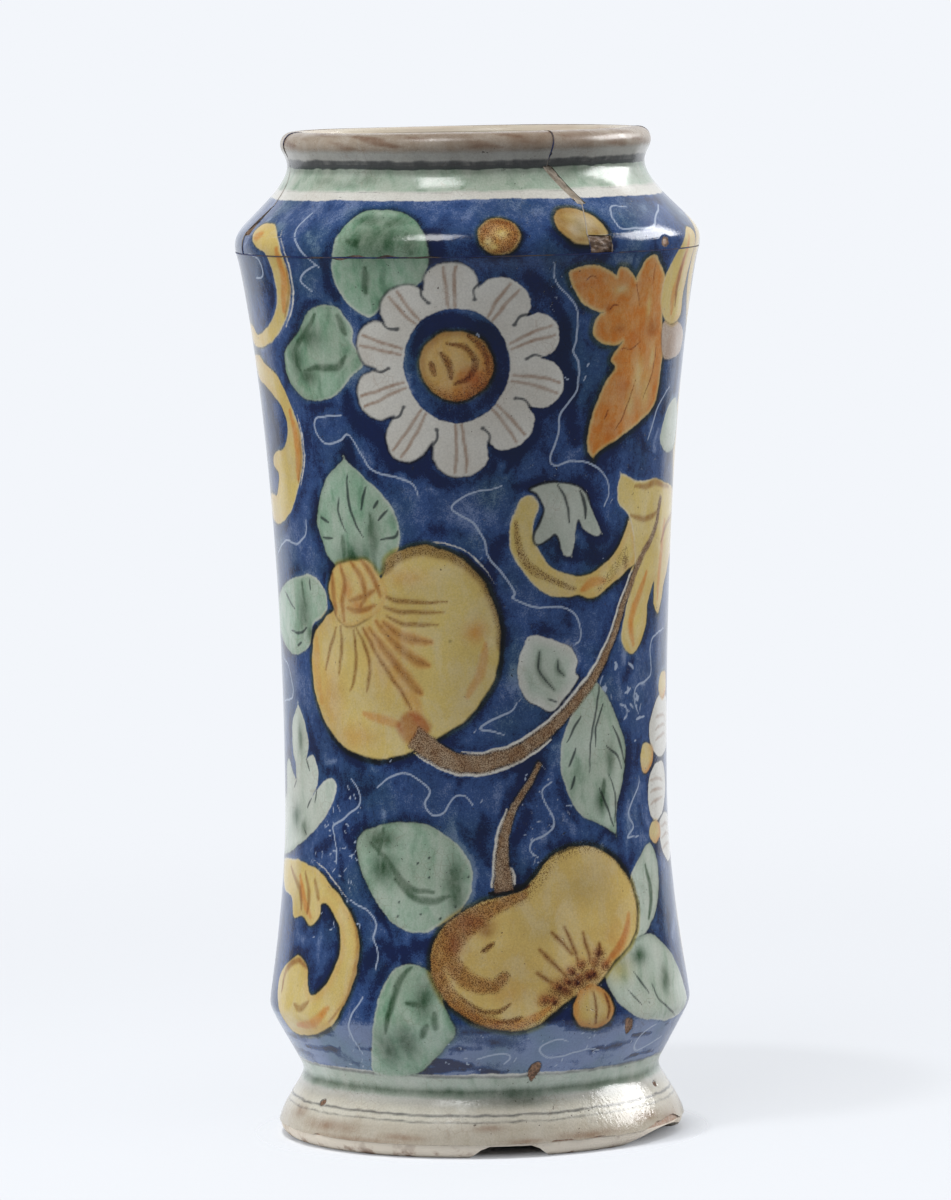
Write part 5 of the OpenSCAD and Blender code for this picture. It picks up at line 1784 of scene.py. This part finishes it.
class JAR_OT_filled_losses(bpy.types.Operator):
    """Makes the putty in the three losses"""
    bl_idname = "jar.filled_losses"
    bl_label = "Filled losses"

    def execute(self, context):
        jar = millimetres(context.scene.jar_sizes)
        breaks = context.scene.jar_breaks
        profile = Profile(jar)
        step, bend = break_corners(jar)
        up = fill_rows(profile, bend, jar.neck_z)
        half = jar.neck_fill_w / 2
        neck = putty(jar, profile, "neck_putty", up, breaks.front, -half, half, 81)
        up = fill_rows(profile, jar.break_z + jar.glue_t / 2, jar.break_z + jar.shoulder_fill_h)
        shoulder = putty(jar, profile, "shoulder_putty", up, breaks.front, 0, jar.shoulder_fill_w, 83)
        up = fill_rows(profile, step, bend)
        width = jar.left_fill_w * (bend - profile.at(up)[1]) / (bend - step)
        left = putty(jar, profile, "left_putty", up, breaks.left, 0, width, 85)
        for piece, node in ((neck, "neck_fill"), (shoulder, "shoulder_fill"), (left, "left_fill")):
            use_material([piece], material(grey_putty, context.scene.jar_colours))
            finished(piece, "fill", node)
        return {"FINISHED"}


class JAR_OT_stage(bpy.types.Operator):
    """Sets the camera, the lamps, the paper floor and the room"""
    bl_idname = "jar.stage"
    bl_label = "Stage"

    def execute(self, context):
        backdrop = tuple(context.scene.jar_colours.backdrop)
        context.scene.view_settings.view_transform = "Standard"
        set_camera()
        floor = set_floor(backdrop)
        jar_only = only(floor, "EXCLUDE")
        set_world(backdrop)
        soft_lamp("left_box", azimuth=-96, elevation=17, distance=1.5, size=(1.1, 0.9), power=15,
                  glossy=False, receivers=jar_only)
        soft_lamp("right_box", azimuth=110, elevation=27, distance=1.5, size=(1.0, 0.6), power=20,
                  receivers=jar_only)
        soft_lamp("front_lamp", azimuth=-24, elevation=56, distance=1.6, size=(0.5, 0.55), power=9)
        soft_lamp("top_box", azimuth=0, elevation=78, distance=1.5, size=(0.8, 0.5), power=7, glossy=False)
        soft_lamp("floor_lamp", azimuth=-36, elevation=70, distance=1.5, size=(0.12, 0.12), power=12,
                  receivers=only(floor, "INCLUDE"))
        return {"FINISHED"}


class JAR_PT_panel(bpy.types.Panel):
    """Lists the steps, the sizes and the colours"""
    bl_label = "Painted drug jar"
    bl_idname = "JAR_PT_panel"
    bl_space_type = "VIEW_3D"
    bl_region_type = "UI"
    bl_category = "Jar"

    def draw(self, context):
        for operator in OPERATORS:
            self.layout.operator(operator.bl_idname)
        for group in (context.scene.jar_sizes, context.scene.jar_breaks, context.scene.jar_colours):
            column = self.layout.column()
            for key in group.__annotations__:
                column.prop(group, key)


OPERATORS = (
    JAR_OT_painted_body, JAR_OT_painted_sherds, JAR_OT_bare_clay, JAR_OT_linings, JAR_OT_glued_breaks,
    JAR_OT_filled_losses, JAR_OT_stage)
GROUPS = {"jar_sizes": JarSizes, "jar_breaks": JarBreaks, "jar_colours": JarColours}


def register():
    for made in (*GROUPS.values(), *OPERATORS, JAR_PT_panel):
        bpy.utils.register_class(made)
    for name, group in GROUPS.items():
        setattr(bpy.types.Scene, name, PointerProperty(type=group))


def unregister():
    for name in GROUPS:
        delattr(bpy.types.Scene, name)
    for made in (JAR_PT_panel, *reversed(OPERATORS), *GROUPS.values()):
        bpy.utils.unregister_class(made)


def main():
    register()
    bpy.ops.jar.painted_body()
    bpy.ops.jar.painted_sherds()
    bpy.ops.jar.bare_clay()
    bpy.ops.jar.linings()
    bpy.ops.jar.glued_breaks()
    bpy.ops.jar.filled_losses()
    bpy.ops.jar.stage()


if __name__ == "__main__":
    main()
